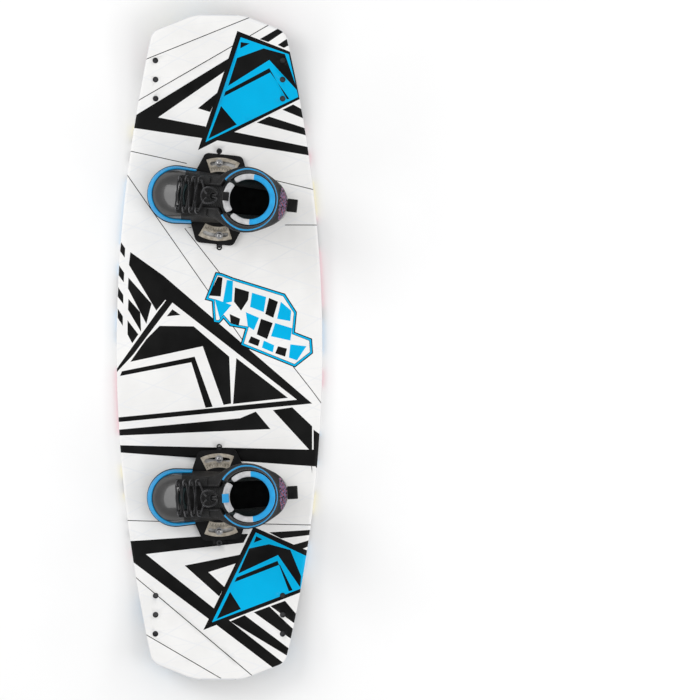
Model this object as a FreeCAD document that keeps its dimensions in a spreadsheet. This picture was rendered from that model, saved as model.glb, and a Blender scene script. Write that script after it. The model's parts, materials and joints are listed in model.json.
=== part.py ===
import FreeCAD, Part
import math
import os

import Sketcher
from FreeCAD import Placement, Rotation, Vector

# A wakeboard with two lace-up bindings and four bolt-on fins, lying on its base.
# X is across the board, with the toes towards -X. Y runs along it, nose towards +Y. Z is up.
# The origin is at the middle of the flat of the base. Each boot is built about the middle of its
# own binding plate, with z = 0 on top of the plate, and is then stood on the board.

doc = FreeCAD.newDocument("wakeboard")
sheet = doc.addObject("Spreadsheet::Sheet", "Sizes")

SIZES = [
    ("Board outline",),
    ("board_length", 1397),
    ("board_width", 435),
    ("side_radius", 2890),
    ("shoulder_drop", 34.5),
    ("end_flat", 100),
    ("shoulder_radius", 30),
    ("end_radius", 90),
    ("Rocker and thickness",),
    ("board_thickness", 24),
    ("base_flat_half", 320),
    ("base_rocker_radius", 1186),
    ("deck_flat_half", 410),
    ("deck_rocker_radius", 900),
    ("sheet_thickness", 2.4),
    ("deck_bevel_start", 163),
    ("deck_bevel_angle", 8),
    ("base_bevel_start", 186),
    ("base_bevel_angle", 4),
    ("Base channels",),
    ("channel_depth", 1.2),
    ("side_channel_from_middle", 153),
    ("side_channel_width", 40),
    ("side_channel_reach", 262),
    ("tip_channel_width", 76),
    ("tip_channel_start", 400),
    ("Binding inserts and bolts",),
    ("stance", 624),
    ("front_turn", -6),
    ("rear_turn", 3),
    ("bolt_spacing", 152.4),
    ("insert_pitch", 25.4),
    ("insert_radius", 6),
    ("insert_flange_radius", 9),
    ("insert_flange_height", 1.6),
    ("insert_height", 12),
    ("thread_depth", 10),
    ("bolt_radius", 3),
    ("bolt_reach", 9),
    ("bolt_head_radius", 5.6),
    ("bolt_head_height", 3.8),
    ("bolt_socket_radius", 2.4),
    ("bolt_socket_depth", 2.2),
    ("washer_radius", 8),
    ("washer_thickness", 1.6),
    ("washer_gap", 0.3),
    ("Fins and fin screws",),
    ("fin_from_middle", 134),
    ("fin_screw_middle", 566),
    ("fin_screw_pitch", 39.5),
    ("fin_length", 132),
    ("fin_nose_depth", 5),
    ("fin_depth", 24),
    ("fin_tail_slant", 8),
    ("fin_sweep", 260),
    ("fin_front_radius", 3.8),
    ("fin_back_radius", 6.6),
    ("fin_screw_radius", 2),
    ("fin_screw_clearance", 0.4),
    ("fin_screw_head_radius", 4),
    ("fin_screw_head_height", 2),
    ("fin_cup_radius", 6),
    ("fin_cup_depth", 3.2),
    ("fin_cup_floor", 1),
    ("fin_nut_radius", 3),
    ("fin_nut_depth", 9),
    ("Binding plate",),
    ("plate_gap", 0.3),
    ("plate_thickness", 8),
    ("plate_reach", 95),
    ("plate_end_width", 78),
    ("plate_waist_width", 106),
    ("plate_waist_reach", 60),
    ("plate_corner", 12),
    ("bolt_circle_inset", 18.2),
    ("gauge_width", 30),
    ("gauge_half_angle", 24),
    ("gauge_thickness", 3),
    ("gauge_ledge", 3),
    ("gauge_gap", 0.15),
    ("slot_half_angle", 17.5),
    ("slot_clearance", 0.95),
    ("Boot",),
    ("boot_length", 294),
    ("sole_height", 18),
    ("sole_ball_radius", 57),
    ("sole_heel_inset", 4),
    ("sole_heel_radius", 42),
    ("rand_level", 42),
    ("rand_setback", 2),
    ("rand_ball_radius", 55),
    ("rand_heel_inset", 0),
    ("rand_heel_radius", 44),
    ("toe_level", 68),
    ("toe_setback", 26),
    ("toe_ball_radius", 48),
    ("toe_heel_inset", 0),
    ("toe_heel_radius", 43),
    ("vamp_level", 92),
    ("vamp_setback", 68),
    ("vamp_ball_radius", 43),
    ("vamp_heel_inset", 2),
    ("vamp_heel_radius", 46),
    ("instep_level", 122),
    ("instep_setback", 112),
    ("instep_ball_radius", 47),
    ("instep_heel_inset", 2),
    ("instep_heel_radius", 54),
    ("ankle_level", 152),
    ("ankle_stretch", 4),
    ("ankle_front_radius", 68),
    ("ankle_heel_inset", 17),
    ("ankle_heel_radius", 68),
    ("cuff_level", 194),
    ("cuff_stretch", 2),
    ("cuff_front_radius", 55),
    ("cuff_heel_inset", 23),
    ("cuff_heel_radius", 55),
    ("top_level", 226),
    ("top_stretch", 2),
    ("top_front_radius", 57),
    ("top_heel_inset", 20),
    ("top_heel_radius", 57),
    ("shell_wall", 4),
    ("layer_gap", 3.6),
    ("liner_wall", 8),
    ("footbed_thickness", 5),
    ("toe_cap_length", 74),
    ("toe_cap_height", 90),
    ("heel_panel_length", 48),
    ("heel_panel_height", 118),
    ("piping_height", 172),
    ("piping_width", 5),
    ("piping_wall", 1.4),
    ("collar_height", 16),
    ("collar_inset", 1),
    ("collar_wall", 15),
    ("throat_setback", 64),
    ("throat_half_width", 23),
    ("cuff_gap_half_width", 36),
    ("cuff_gap_depth", 26),
    ("tongue_half_width", 32),
    ("tongue_wall", 8),
    ("tongue_hinge_level", 178),
    ("tongue_hinge_gap", 2),
    ("flap_half_width", 32),
    ("flap_wall", 16),
    ("flap_inset", 1),
    ("flap_top", 216),
    ("rand_wall", 3),
    ("rand_bottom", 12),
    ("rand_top", 50),
    ("rand_length", 96),
    ("Laces, lock and loops",),
    ("lace_radius", 1.7),
    ("lace_lift", 4.6),
    ("lace_crossing_gap", 0.5),
    ("lace_row_setback", 70),
    ("lace_row_pitch", 15),
    ("lace_half_spread", 32),
    ("lace_turn_half", 4.5),
    ("ring_radius", 6),
    ("ring_wire", 1.4),
    ("ring_stand", 11.4),
    ("stay_inner", 24),
    ("stay_outer", 40),
    ("stay_thickness", 1.6),
    ("stay_setback", 62),
    ("stay_end_setback", 128),
    ("lock_radius", 7),
    ("lock_length", 14),
    ("lock_bore", 4.3),
    ("lock_start", 10.5),
    ("tail_length", 31),
    ("tail_lift", 9),
    ("tail_angle", 48),
    ("tail_setback", 129),
    ("tail_half_gap", 2.2),
    ("heel_loop_width", 26),
    ("heel_loop_wall", 3),
    ("heel_loop_standoff", 20),
    ("heel_loop_bottom", 62),
    ("heel_loop_top", 108),
    ("pull_loop_width", 18),
    ("pull_loop_wall", 2.4),
    ("pull_loop_reach", 16),
    ("pull_loop_gap", 9),
]
LACE_ROWS = 4
GROUP_INSERTS = 3
FIN_SCREWS = 3


class Size:
    """A number, together with the sheet formula that it comes from."""

    def __init__(self, value, formula):
        self.value = float(value)
        self.formula = formula

    def mixed(self, other, sign, value):
        formula = other.formula if isinstance(other, Size) else repr(other)
        return Size(value, f"({self.formula} {sign} {formula})")

    def __add__(self, other):
        return self.mixed(other, "+", self.value + float(other))

    def __sub__(self, other):
        return self.mixed(other, "-", self.value - float(other))

    def __mul__(self, other):
        return self.mixed(other, "*", self.value * float(other))

    def __truediv__(self, other):
        return self.mixed(other, "/", self.value / float(other))

    def __neg__(self):
        return Size(-self.value, f"(0 - {self.formula})")

    def __float__(self):
        return self.value


def root(size):
    return Size(math.sqrt(size.value), f"sqrt({size.formula})")


def sine(size):
    return Size(math.sin(math.radians(size.value)), f"sin({size.formula} * 1 deg)")


def cosine(size):
    return Size(math.cos(math.radians(size.value)), f"cos({size.formula} * 1 deg)")


def tangent(size):
    return Size(math.tan(math.radians(size.value)), f"tan({size.formula} * 1 deg)")


ZERO = Size(0, "0")


def fill_sheet():
    """Writes each named size to its own cell and returns the sizes by name."""
    sizes = {}
    for row, entry in enumerate(SIZES, start=1):
        sheet.set(f"A{row}", entry[0])
        if len(entry) == 2:
            sheet.set(f"B{row}", str(entry[1]))
            sheet.setAlias(f"B{row}", entry[0])
            sizes[entry[0]] = Size(entry[1], f"Sizes.{entry[0]}")
    doc.recompute()
    return sizes


S = fill_sheet()
PARTS = []

# ---------------------------------------------------------------- building blocks


def bind(thing, **sizes):
    """Sets properties of a document object and binds each one to its formula."""
    for name, size in sizes.items():
        setattr(thing, name, size.value)
        thing.setExpression(name, size.formula)
    return thing


def put(thing, x=ZERO, y=ZERO, z=ZERO, turn=None, axis=Vector(0, 0, 1)):
    """Places an object at bound coordinates, with an optional bound turn in degrees about an axis."""
    angle = turn.value if turn else 0
    thing.Placement = Placement(Vector(x.value, y.value, z.value), Rotation(axis, angle))
    for name, size in (("x", x), ("y", y), ("z", z)):
        thing.setExpression(f"Placement.Base.{name}", size.formula)
    if turn:
        thing.setExpression("Placement.Rotation.Angle", f"{turn.formula} * 1 deg")
    return thing


def cylinder(name, radius, height, x=ZERO, y=ZERO, z=ZERO):
    return put(bind(doc.addObject("Part::Cylinder", name), Radius=radius, Height=height), x, y, z)


def box(name, low, high):
    """A box between two bound corners."""
    made = doc.addObject("Part::Box", name)
    bind(made, Length=high[0] - low[0], Width=high[1] - low[1], Height=high[2] - low[2])
    return put(made, *low)


def cut(name, base, tool):
    made = doc.addObject("Part::Cut", name)
    made.Base, made.Tool = base, tool
    return made


def fuse(name, *pieces):
    made = doc.addObject("Part::MultiFuse", name)
    made.Shapes = list(pieces)
    return made


def common(name, *pieces):
    made = doc.addObject("Part::MultiCommon", name)
    made.Shapes = list(pieces)
    return made


def group(name, pieces):
    """Separate solids that share one node."""
    made = doc.addObject("Part::Compound", name)
    made.Links = list(pieces)
    return made


def extrude(name, outline, height):
    """A solid prism that stands on an outline."""
    made = doc.addObject("Part::Extrusion", name)
    made.Base, made.DirMode, made.Dir, made.Solid = outline, "Custom", Vector(0, 0, 1), True
    return bind(made, LengthFwd=height)


def keep(thing, label):
    """Marks a document object as a sub-part, whose label names its file."""
    thing.Label = label
    PARTS.append(thing)
    return thing


def pin(sketch, geometry, point, x, y):
    """Fixes one point of a sketch at bound coordinates."""
    for kind, size in (("DistanceX", x), ("DistanceY", y)):
        index = sketch.addConstraint(Sketcher.Constraint(kind, -1, 1, geometry, point, size.value))
        sketch.setExpression(f"Constraints[{index}]", size.formula)


def bend(sketch, geometry, radius):
    index = sketch.addConstraint(Sketcher.Constraint("Radius", geometry, radius.value))
    sketch.setExpression(f"Constraints[{index}]", radius.formula)


def draw(sketch, corners):
    """Draws a closed outline through corners (x, y), or (x, y, radius) where an arc leads to the next one.

    A positive radius puts the arc's centre on the left of the way on, and a negative one on the right."""
    ends = []
    for i, corner in enumerate(corners):
        following = corners[(i + 1) % len(corners)]
        start = Vector(corner[0].value, corner[1].value, 0)
        end = Vector(following[0].value, following[1].value, 0)
        left = len(corner) == 2 or corner[2].value > 0
        if len(corner) == 2:
            sketch.addGeometry(Part.LineSegment(start, end))
        else:
            radius = abs(corner[2].value)
            chord = end - start
            across = Vector(-chord.y, chord.x, 0).normalize() * (1 if left else -1)
            drop = radius - math.sqrt(radius**2 - (chord.Length / 2) ** 2)
            sketch.addGeometry(Part.Arc(start, (start + end) / 2 - across * drop, end))
            bend(sketch, i, corner[2] if left else -corner[2])
        ends.append((1, 2) if left else (2, 1))
        pin(sketch, i, ends[i][0], corner[0], corner[1])
    for i in range(len(corners)):
        following = (i + 1) % len(corners)
        joint = Sketcher.Constraint("Coincident", i, ends[i][1], following, ends[following][0])
        sketch.addConstraint(joint)


def pad(name, plane, corners, length):
    """A body with one sketch on an origin plane, padded equally to both sides of it."""
    body = doc.addObject("PartDesign::Body", name)
    sketch = body.newObject("Sketcher::SketchObject", name + "_outline")
    origin = [item for item in body.Origin.OriginFeatures if item.Role == plane][0]
    sketch.AttachmentSupport = (origin, [""])
    sketch.MapMode = "FlatFace"
    draw(sketch, corners)
    made = body.newObject("PartDesign::Pad", name + "_pad")
    made.Profile = sketch
    made.SideType = "Symmetric"
    bind(made, Length=length)
    doc.recompute()
    return body


def round_corners(body, points, radius, near=0.01):
    """Fillets the upright edges of a padded body that stand at the given points (x, y)."""
    edges = []
    for i, edge in enumerate(body.Tip.Shape.Edges, start=1):
        first, last = edge.Vertexes[0].Point, edge.Vertexes[-1].Point
        upright = abs(first.x - last.x) < near and abs(first.y - last.y) < near
        spots = [math.hypot(first.x - x.value, first.y - y.value) < near for x, y in points]
        if upright and any(spots):
            edges.append(f"Edge{i}")
    made = body.newObject("PartDesign::Fillet", body.Name + "_fillet")
    made.Base = (made.BaseFeature, edges)
    bind(made, Radius=radius)
    doc.recompute()
    return body


# ---------------------------------------------------------------- the board

HALF_LENGTH = S["board_length"] / 2
HALF_WIDTH = S["board_width"] / 2
MARGIN = 5
TALL = S["board_thickness"] * 8
ROCKER_SWEEP = 30


def arc_rise(radius, along):
    """How far an arc of this radius has risen above its tangent, at a distance along that tangent."""
    return radius - root(radius * radius - along * along)


def base_z(y):
    """Height of the base at a distance y from the middle, beyond the flat."""
    return arc_rise(S["base_rocker_radius"], y - S["base_flat_half"])


def deck_z(y):
    """Height of the deck at a distance y from the middle, beyond the flat."""
    return S["board_thickness"] + arc_rise(S["deck_rocker_radius"], y - S["deck_flat_half"])


def board_outline():
    """The plan of the board: long side arcs, slanted shoulders and short straight ends."""
    shoulder_y = HALF_LENGTH - S["shoulder_drop"]
    shoulder_x = HALF_WIDTH - arc_rise(S["side_radius"], shoulder_y)
    end_x = S["end_flat"] / 2
    corners = [
        (shoulder_x, -shoulder_y, S["side_radius"]),
        (shoulder_x, shoulder_y),
        (end_x, HALF_LENGTH),
        (-end_x, HALF_LENGTH),
        (-shoulder_x, shoulder_y, S["side_radius"]),
        (-shoulder_x, -shoulder_y),
        (-end_x, -HALF_LENGTH),
        (end_x, -HALF_LENGTH),
    ]
    body = pad("plan", "XY_Plane", corners, TALL)
    shoulders = [(x, y) for x in (shoulder_x, -shoulder_x) for y in (shoulder_y, -shoulder_y)]
    ends = [(x, y) for x in (end_x, -end_x) for y in (HALF_LENGTH, -HALF_LENGTH)]
    round_corners(body, shoulders, S["shoulder_radius"])
    return round_corners(body, ends, S["end_radius"])


def curved_space(name, flat_half, radius, section):
    """A cross-section carried along the flat of the board and round the rocker at both ends."""
    sketch = doc.addObject("Sketcher::SketchObject", name + "_section")
    draw(sketch, section)
    put(sketch, y=-flat_half, turn=ZERO + 90, axis=Vector(1, 0, 0))
    middle = doc.addObject("Part::Extrusion", name + "_middle")
    middle.Base, middle.DirMode, middle.Dir, middle.Solid = sketch, "Custom", Vector(0, 1, 0), True
    bind(middle, LengthFwd=flat_half * 2)
    spaces = [middle]
    for tip, side in (("nose", 1), ("tail", -1)):
        start = group(f"{name}_{tip}_section", [sketch])
        if side > 0:
            put(start, y=flat_half * 2)
        swept = doc.addObject("Part::Revolution", f"{name}_{tip}")
        swept.Source, swept.Axis, swept.Solid = start, Vector(side, 0, 0), True
        swept.Base = Vector(0, flat_half.value * side, radius.value)
        swept.setExpression("Base.y", (flat_half * side).formula)
        swept.setExpression("Base.z", radius.formula)
        swept.Angle = ROCKER_SWEEP
        spaces.append(swept)
    return fuse(name, *spaces)


def space_below_deck(name, depth):
    """Everything below the deck, which bevels down to the rails, drawn in by a depth."""
    reach = HALF_WIDTH + MARGIN
    top = S["board_thickness"] - depth
    inset = depth * tangent(S["deck_bevel_angle"] / 2)
    start = S["deck_bevel_start"] - inset
    rail = top - tangent(S["deck_bevel_angle"]) * (reach - start)
    floor = -S["board_thickness"]
    section = [(-reach, floor), (reach, floor), (reach, rail), (start, top), (-start, top), (-reach, rail)]
    centre = S["board_thickness"] + S["deck_rocker_radius"]
    return curved_space(name, S["deck_flat_half"], centre, section)


def space_above_base(name, depth):
    """Everything above the base, which bevels up to the rails, drawn in by a depth."""
    reach = HALF_WIDTH + MARGIN
    start = S["base_bevel_start"] - depth * tangent(S["base_bevel_angle"] / 2)
    rail = depth + tangent(S["base_bevel_angle"]) * (reach - start)
    roof = S["board_thickness"] * 3
    section = [(-start, depth), (start, depth), (reach, rail), (reach, roof), (-reach, roof), (-reach, rail)]
    return curved_space(name, S["base_flat_half"], S["base_rocker_radius"], section)


def layers():
    """The foam core and the two glass sheets that are laminated to it."""
    wall = S["sheet_thickness"]
    plan = board_outline()
    under_sheet, over_sheet = space_below_deck("under_sheet", wall), space_above_base("over_sheet", wall)
    under_deck, over_base = space_below_deck("under_deck", ZERO), space_above_base("over_base", ZERO)
    core = common("core_solid", under_sheet, over_sheet, plan)
    deck = cut("deck_layer", common("deck_solid", under_deck, over_sheet, plan), core)
    base = cut("base_layer", common("base_solid", under_sheet, over_base, plan), core)
    return core, deck, base


def channels():
    """Shallow steps in the base: one along each rail in mid board, one down the middle at each tip."""
    depth = S["channel_depth"]
    low, inner = S["side_channel_from_middle"], S["side_channel_width"] / 2
    reach = S["side_channel_reach"]
    cuts = []
    for side, middle in (("toe", -low), ("heel", low)):
        corner = (middle - inner, -reach, -depth)
        cuts.append(box(side + "_channel", corner, (middle + inner, reach, depth)))
    above = space_above_base("above_channel", depth)
    half = S["tip_channel_width"] / 2
    for tip, start, end in (("nose", S["tip_channel_start"], HALF_LENGTH + 2 * MARGIN),
                            ("tail", -HALF_LENGTH - 2 * MARGIN, -S["tip_channel_start"])):
        strip = box(tip + "_strip", (-half, start, -depth), (half, end, TALL))
        cuts.append(cut(tip + "_channel", strip, above))
    return fuse("channels", *cuts)


def insert_places():
    """Distances from the middle of the board of the inserts on its centreline."""
    places = []
    for side in (1, -1):
        for end in (1, -1):
            bolt = S["stance"] / 2 + S["bolt_spacing"] / 2 * end
            for step in range(GROUP_INSERTS):
                shift = step - (GROUP_INSERTS - 1) / 2
                places.append((bolt + S["insert_pitch"] * shift) * side)
    return places


def binding_inserts():
    """Threaded inserts with a flange at the foot, and the pockets that they are potted in."""
    top = S["board_thickness"]
    foot = top - S["insert_height"]
    made, pockets = [], []
    for i, y in enumerate(insert_places()):
        stem = cylinder(f"insert_stem_{i}", S["insert_radius"], S["insert_height"], y=y, z=foot)
        flange = cylinder(f"insert_flange_{i}", S["insert_flange_radius"],
                          S["insert_flange_height"], y=y, z=foot)
        solid = fuse(f"insert_solid_{i}", stem, flange)
        bore = cylinder(f"insert_bore_{i}", S["insert_radius"], S["insert_height"] + MARGIN, y=y, z=foot)
        thread = cylinder(f"insert_thread_{i}", S["bolt_radius"], S["thread_depth"] + MARGIN,
                          y=y, z=top - S["thread_depth"])
        made.append(cut(f"insert_{i}", solid, thread))
        pockets += [bore, flange]
    return group("inserts", made), fuse("insert_pockets", *pockets)


def board():
    """The laminated board with its inserts, and the fins with their screws, cups and nuts."""
    core, deck, base = layers()
    inserts, pockets = binding_inserts()
    screws, cups, nuts, drills = fin_fixings()
    keep(cut("core_drilled", cut("core_pocketed", core, pockets), drills), "foam_core")
    keep(cut("deck_drilled", cut("deck_pocketed", deck, pockets), drills), "deck_sheet")
    keep(cut("base_drilled", cut("base_channelled", base, channels()), drills), "base_sheet")
    keep(inserts, "binding_inserts")
    keep(screws, "fin_screws")
    keep(cups, "fin_screw_cups")
    keep(nuts, "fin_nuts")
    fins()


# ---------------------------------------------------------------- fins

FIN_CORNERS = (("nose_toe", -1, 1), ("nose_heel", 1, 1), ("tail_toe", -1, -1), ("tail_heel", 1, -1))


def fin_tilt():
    """Slope of the base where a fin sits, in degrees."""
    along = S["fin_screw_middle"] - S["base_flat_half"]
    sloped = math.degrees(math.asin(along.value / S["base_rocker_radius"].value))
    return Size(sloped, f"(asin({along.formula} / Sizes.base_rocker_radius) / 1 deg)")


def screw_place(step):
    """Where one of a fin's screws crosses the base: its distance from the middle, and its height."""
    y = S["fin_screw_middle"] + S["fin_screw_pitch"] * (step - (FIN_SCREWS - 1) / 2)
    return y, base_z(y)


def tilted_pin(name, spot, radius, low, high):
    """A cylinder square to the base under a fin, from one distance above the spot to another.

    The spot is (x, y, z, side), where side is 1 at the nose and -1 at the tail."""
    x, y, z, side = spot
    tilt = fin_tilt()
    made = bind(doc.addObject("Part::Cylinder", name), Radius=radius, Height=high - low)
    lean_y, lean_z = y - sine(tilt) * low, z + cosine(tilt) * low
    return put(made, x, lean_y * side, lean_z, turn=tilt * side, axis=Vector(1, 0, 0))


def fin_fixings():
    """Screws through the board, the cups under their heads, the nuts in the fins, and the drillings."""
    screws, cups, nuts, drills = [], [], [], []
    shank = S["fin_screw_radius"]
    loose = shank + S["fin_screw_clearance"]
    floor = S["fin_cup_floor"]
    foot = -S["fin_nut_depth"]
    for corner, toe_side, end in FIN_CORNERS:
        for step in range(FIN_SCREWS):
            name = f"{corner}_{step}"
            y, z = screw_place(step)
            spot = (S["fin_from_middle"] * toe_side, y, z, end)
            seat = (deck_z(y) - z) * cosine(fin_tilt()) - S["fin_cup_depth"]
            ledge = seat + floor
            crown = ledge + S["fin_screw_head_height"]
            head = tilted_pin("screw_head_" + name, spot, S["fin_screw_head_radius"], ledge, crown)
            screws.append(fuse("screw_" + name, head, tilted_pin("stem_" + name, spot, shank, foot, ledge)))
            dish = tilted_pin("cup_disc_" + name, spot, S["fin_cup_radius"], seat, ledge)
            bore = tilted_pin("cup_bore_" + name, spot, loose, seat - MARGIN, ledge + MARGIN)
            cups.append(cut("cup_" + name, dish, bore))
            barrel = tilted_pin("nut_barrel_" + name, spot, S["fin_nut_radius"], foot, -floor)
            thread = tilted_pin("nut_thread_" + name, spot, shank, foot - MARGIN, ZERO + MARGIN)
            nuts.append(cut("nut_" + name, barrel, thread))
            drills.append(tilted_pin("drill_" + name, spot, loose, foot, ledge))
            drills.append(tilted_pin("recess_" + name, spot, S["fin_cup_radius"], seat, ledge + 4 * MARGIN))
    return group("screws", screws), group("cups", cups), group("nuts", nuts), fuse("drills", *drills)


def fins():
    """Long low fins, narrow towards the middle of the board, whose tops follow the rocker."""
    inner = S["fin_screw_middle"] - S["fin_length"] / 2
    outer = S["fin_screw_middle"] + S["fin_length"] / 2
    heel = outer - S["fin_tail_slant"]
    side_view = [
        (inner, base_z(inner) - S["fin_nose_depth"], S["fin_sweep"]),
        (heel, base_z(heel) - S["fin_depth"]),
        (outer, base_z(outer), -S["base_rocker_radius"]),
        (inner, base_z(inner)),
    ]
    blade = pad("fin_blade", "YZ_Plane", side_view, S["fin_back_radius"] * 4)
    plan = hull("fin_plan", inner, S["fin_front_radius"], outer, S["fin_back_radius"], -TALL / 2)
    turned = group("fin_footprint_turned", [extrude("fin_footprint", plan, TALL)])
    turned.Placement = Placement(Vector(), Rotation(Vector(0, 0, 1), 90))
    fin = common("fin_solid", blade, turned)
    loose = S["fin_screw_radius"] + S["fin_screw_clearance"]
    foot = -S["fin_nut_depth"]
    holes = []
    for step in range(FIN_SCREWS):
        spot = (ZERO, *screw_place(step), 1)
        holes.append(tilted_pin(f"nut_hole_{step}", spot, S["fin_nut_radius"], foot, -S["fin_cup_floor"]))
        holes.append(tilted_pin(f"screw_hole_{step}", spot, loose, foot, ZERO + MARGIN))
    drilled = cut("fin_drilled", fin, fuse("fin_holes", *holes))
    for corner, toe_side, end in FIN_CORNERS:
        placed = group(corner + "_placed", [drilled])
        turn = ZERO if end > 0 else ZERO + 180
        put(placed, S["fin_from_middle"] * toe_side, turn=turn)
        keep(placed, corner + "_fin")


# ---------------------------------------------------------------- bindings


def hull(name, low, low_radius, high, high_radius, z=ZERO):
    """A sketch of two circles on the X axis and the two straight sides that touch both.

    low and high are the outermost points of the circles along X."""
    sketch = doc.addObject("Sketcher::SketchObject", name)
    centres = (low + low_radius, high - high_radius)
    radii = (low_radius, high_radius)
    lean = (radii[0].value - radii[1].value) / (centres[1].value - centres[0].value)
    rise = math.sqrt(1 - lean**2)
    tops = [Vector(c.value + r.value * lean, r.value * rise, 0) for c, r in zip(centres, radii)]
    feet = [Vector(top.x, -top.y, 0) for top in tops]
    sketch.addGeometry(Part.Arc(tops[0], Vector(low.value, 0, 0), feet[0]))
    sketch.addGeometry(Part.LineSegment(feet[0], feet[1]))
    sketch.addGeometry(Part.Arc(feet[1], Vector(high.value, 0, 0), tops[1]))
    sketch.addGeometry(Part.LineSegment(tops[1], tops[0]))
    for i in range(4):
        sketch.addConstraint(Sketcher.Constraint("Tangent", i, 2, (i + 1) % 4, 1))
    for geometry, centre, radius in ((0, centres[0], radii[0]), (2, centres[1], radii[1])):
        pin(sketch, geometry, 3, centre, ZERO)
        bend(sketch, geometry, radius)
    return put(sketch, z=z)


TOE_TIP = -S["boot_length"] / 2
HEEL_TIP = S["boot_length"] / 2
LOW_LEVELS = ("sole", "rand", "toe", "vamp", "instep")
HIGH_LEVELS = ("ankle", "cuff", "top")


def boot_levels():
    """Height, toe end, toe radius, heel end and heel radius of each level of the boot, from the sole up."""
    levels = []
    for name in LOW_LEVELS:
        height = S["sole_height"] if name == "sole" else S[name + "_level"]
        toe = TOE_TIP if name == "sole" else TOE_TIP + S[name + "_setback"]
        heel = HEEL_TIP - S[name + "_heel_inset"]
        levels.append((height, toe, S[name + "_ball_radius"], heel, S[name + "_heel_radius"]))
    for name in HIGH_LEVELS:
        heel = HEEL_TIP - S[name + "_heel_inset"]
        front_middle = heel - S[name + "_heel_radius"] - S[name + "_stretch"]
        toe = front_middle - S[name + "_front_radius"]
        levels.append((S[name + "_level"], toe, S[name + "_front_radius"], heel,
                       S[name + "_heel_radius"]))
    return levels


def last(name, inset):
    """The solid inside the boot's outer surface drawn in by an inset; a negative one stands proud."""
    sections = []
    for i, (height, toe, ball, heel, heel_radius) in enumerate(boot_levels()):
        sections.append(hull(f"{name}_section_{i}", toe + inset, ball - inset, heel - inset,
                             heel_radius - inset, height))
    made = doc.addObject("Part::Loft", name)
    made.Sections, made.Solid, made.Ruled = sections, True, False
    doc.recompute()
    return made


WIDE = S["board_width"] / 2
HIGH = S["top_level"] + 3 * MARGIN


def zone(name, x_low=None, x_high=None, half_width=None, z_low=None, z_high=None):
    """A box that picks out a region of the boot; a side that isn't given lies beyond the boot."""
    half = half_width or WIDE
    low = (x_low or TOE_TIP - 4 * MARGIN, -half, z_low or ZERO)
    high = (x_high or HEEL_TIP + 4 * MARGIN, half, z_high or HIGH)
    return box(name, low, high)


def sector(name, inner, outer, half_angle, low, high):
    """A piece of a flat ring, centred on the +Y axis."""
    wedge = cylinder(name + "_wedge", outer, high - low)
    bind(wedge, Angle=half_angle * 2)
    put(wedge, z=low, turn=ZERO + 90 - half_angle)
    hole = cylinder(name + "_hole", inner, high - low + 2 * MARGIN, z=low - MARGIN)
    return cut(name, wedge, hole)


def both_ends(name, piece):
    """A piece together with its copy half a turn round."""
    turned = group(name + "_turned", [piece])
    turned.Placement = Placement(Vector(), Rotation(Vector(0, 0, 1), 180))
    return fuse(name, piece, turned)


BOLT_CIRCLE = S["bolt_spacing"] / 2
GAUGE_INNER = BOLT_CIRCLE - S["bolt_circle_inset"]
GAUGE_OUTER = GAUGE_INNER + S["gauge_width"]


def arc_degrees(length, radius):
    """The angle of a short arc of a given length."""
    return length / radius * (180 / math.pi)


def plate_and_gauges():
    """The plate under the boot, with a window at each end that holds an angle gauge with an arc slot."""
    thick = S["plate_thickness"]
    end, waist = S["plate_end_width"] / 2, S["plate_waist_width"] / 2
    reach, shoulder = S["plate_reach"], S["plate_waist_reach"]
    corners = [(end, reach), (-end, reach), (-waist, shoulder), (-waist, -shoulder)]
    corners += [(-end, -reach), (end, -reach), (waist, -shoulder), (waist, shoulder)]
    blank = pad("plate_blank", "XY_Plane", corners, thick * 2)
    ends = [(x, y) for x in (end, -end) for y in (reach, -reach)]
    round_corners(blank, ends, S["plate_corner"])
    gauge_low = -S["gauge_thickness"]
    half_angle = S["gauge_half_angle"]
    recess = sector("recess", GAUGE_INNER, GAUGE_OUTER, half_angle, gauge_low, ZERO + MARGIN)
    ledge = S["gauge_ledge"]
    narrow = half_angle - arc_degrees(ledge, BOLT_CIRCLE)
    window = sector("window", GAUGE_INNER + ledge, GAUGE_OUTER - ledge, narrow, -thick - MARGIN, ZERO)
    windows = both_ends("windows", fuse("window_steps", recess, window))
    slab = box("plate_slab", (-WIDE, -WIDE, -thick), (WIDE, WIDE, ZERO))
    plate = cut("plate", common("plate_half", blank, slab), windows)

    gap = S["gauge_gap"]
    slim = half_angle - arc_degrees(gap, GAUGE_INNER)
    blank = sector("gauge_blank", GAUGE_INNER + gap, GAUGE_OUTER - gap, slim, gauge_low, ZERO)
    slot_half = S["bolt_radius"] + S["slot_clearance"]
    slot = sector("slot_arc", BOLT_CIRCLE - slot_half, BOLT_CIRCLE + slot_half, S["slot_half_angle"],
                  gauge_low - MARGIN, ZERO + MARGIN)
    tools = [slot]
    for i, side in enumerate((1, -1)):
        angle = S["slot_half_angle"]
        tools.append(cylinder(f"slot_end_{i}", slot_half, S["gauge_thickness"] + 2 * MARGIN,
                              BOLT_CIRCLE * sine(angle) * side, BOLT_CIRCLE * cosine(angle),
                              gauge_low - MARGIN))
    gauge = cut("gauge", blank, fuse("slot", *tools))
    return plate, both_ends("gauges", gauge)


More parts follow.
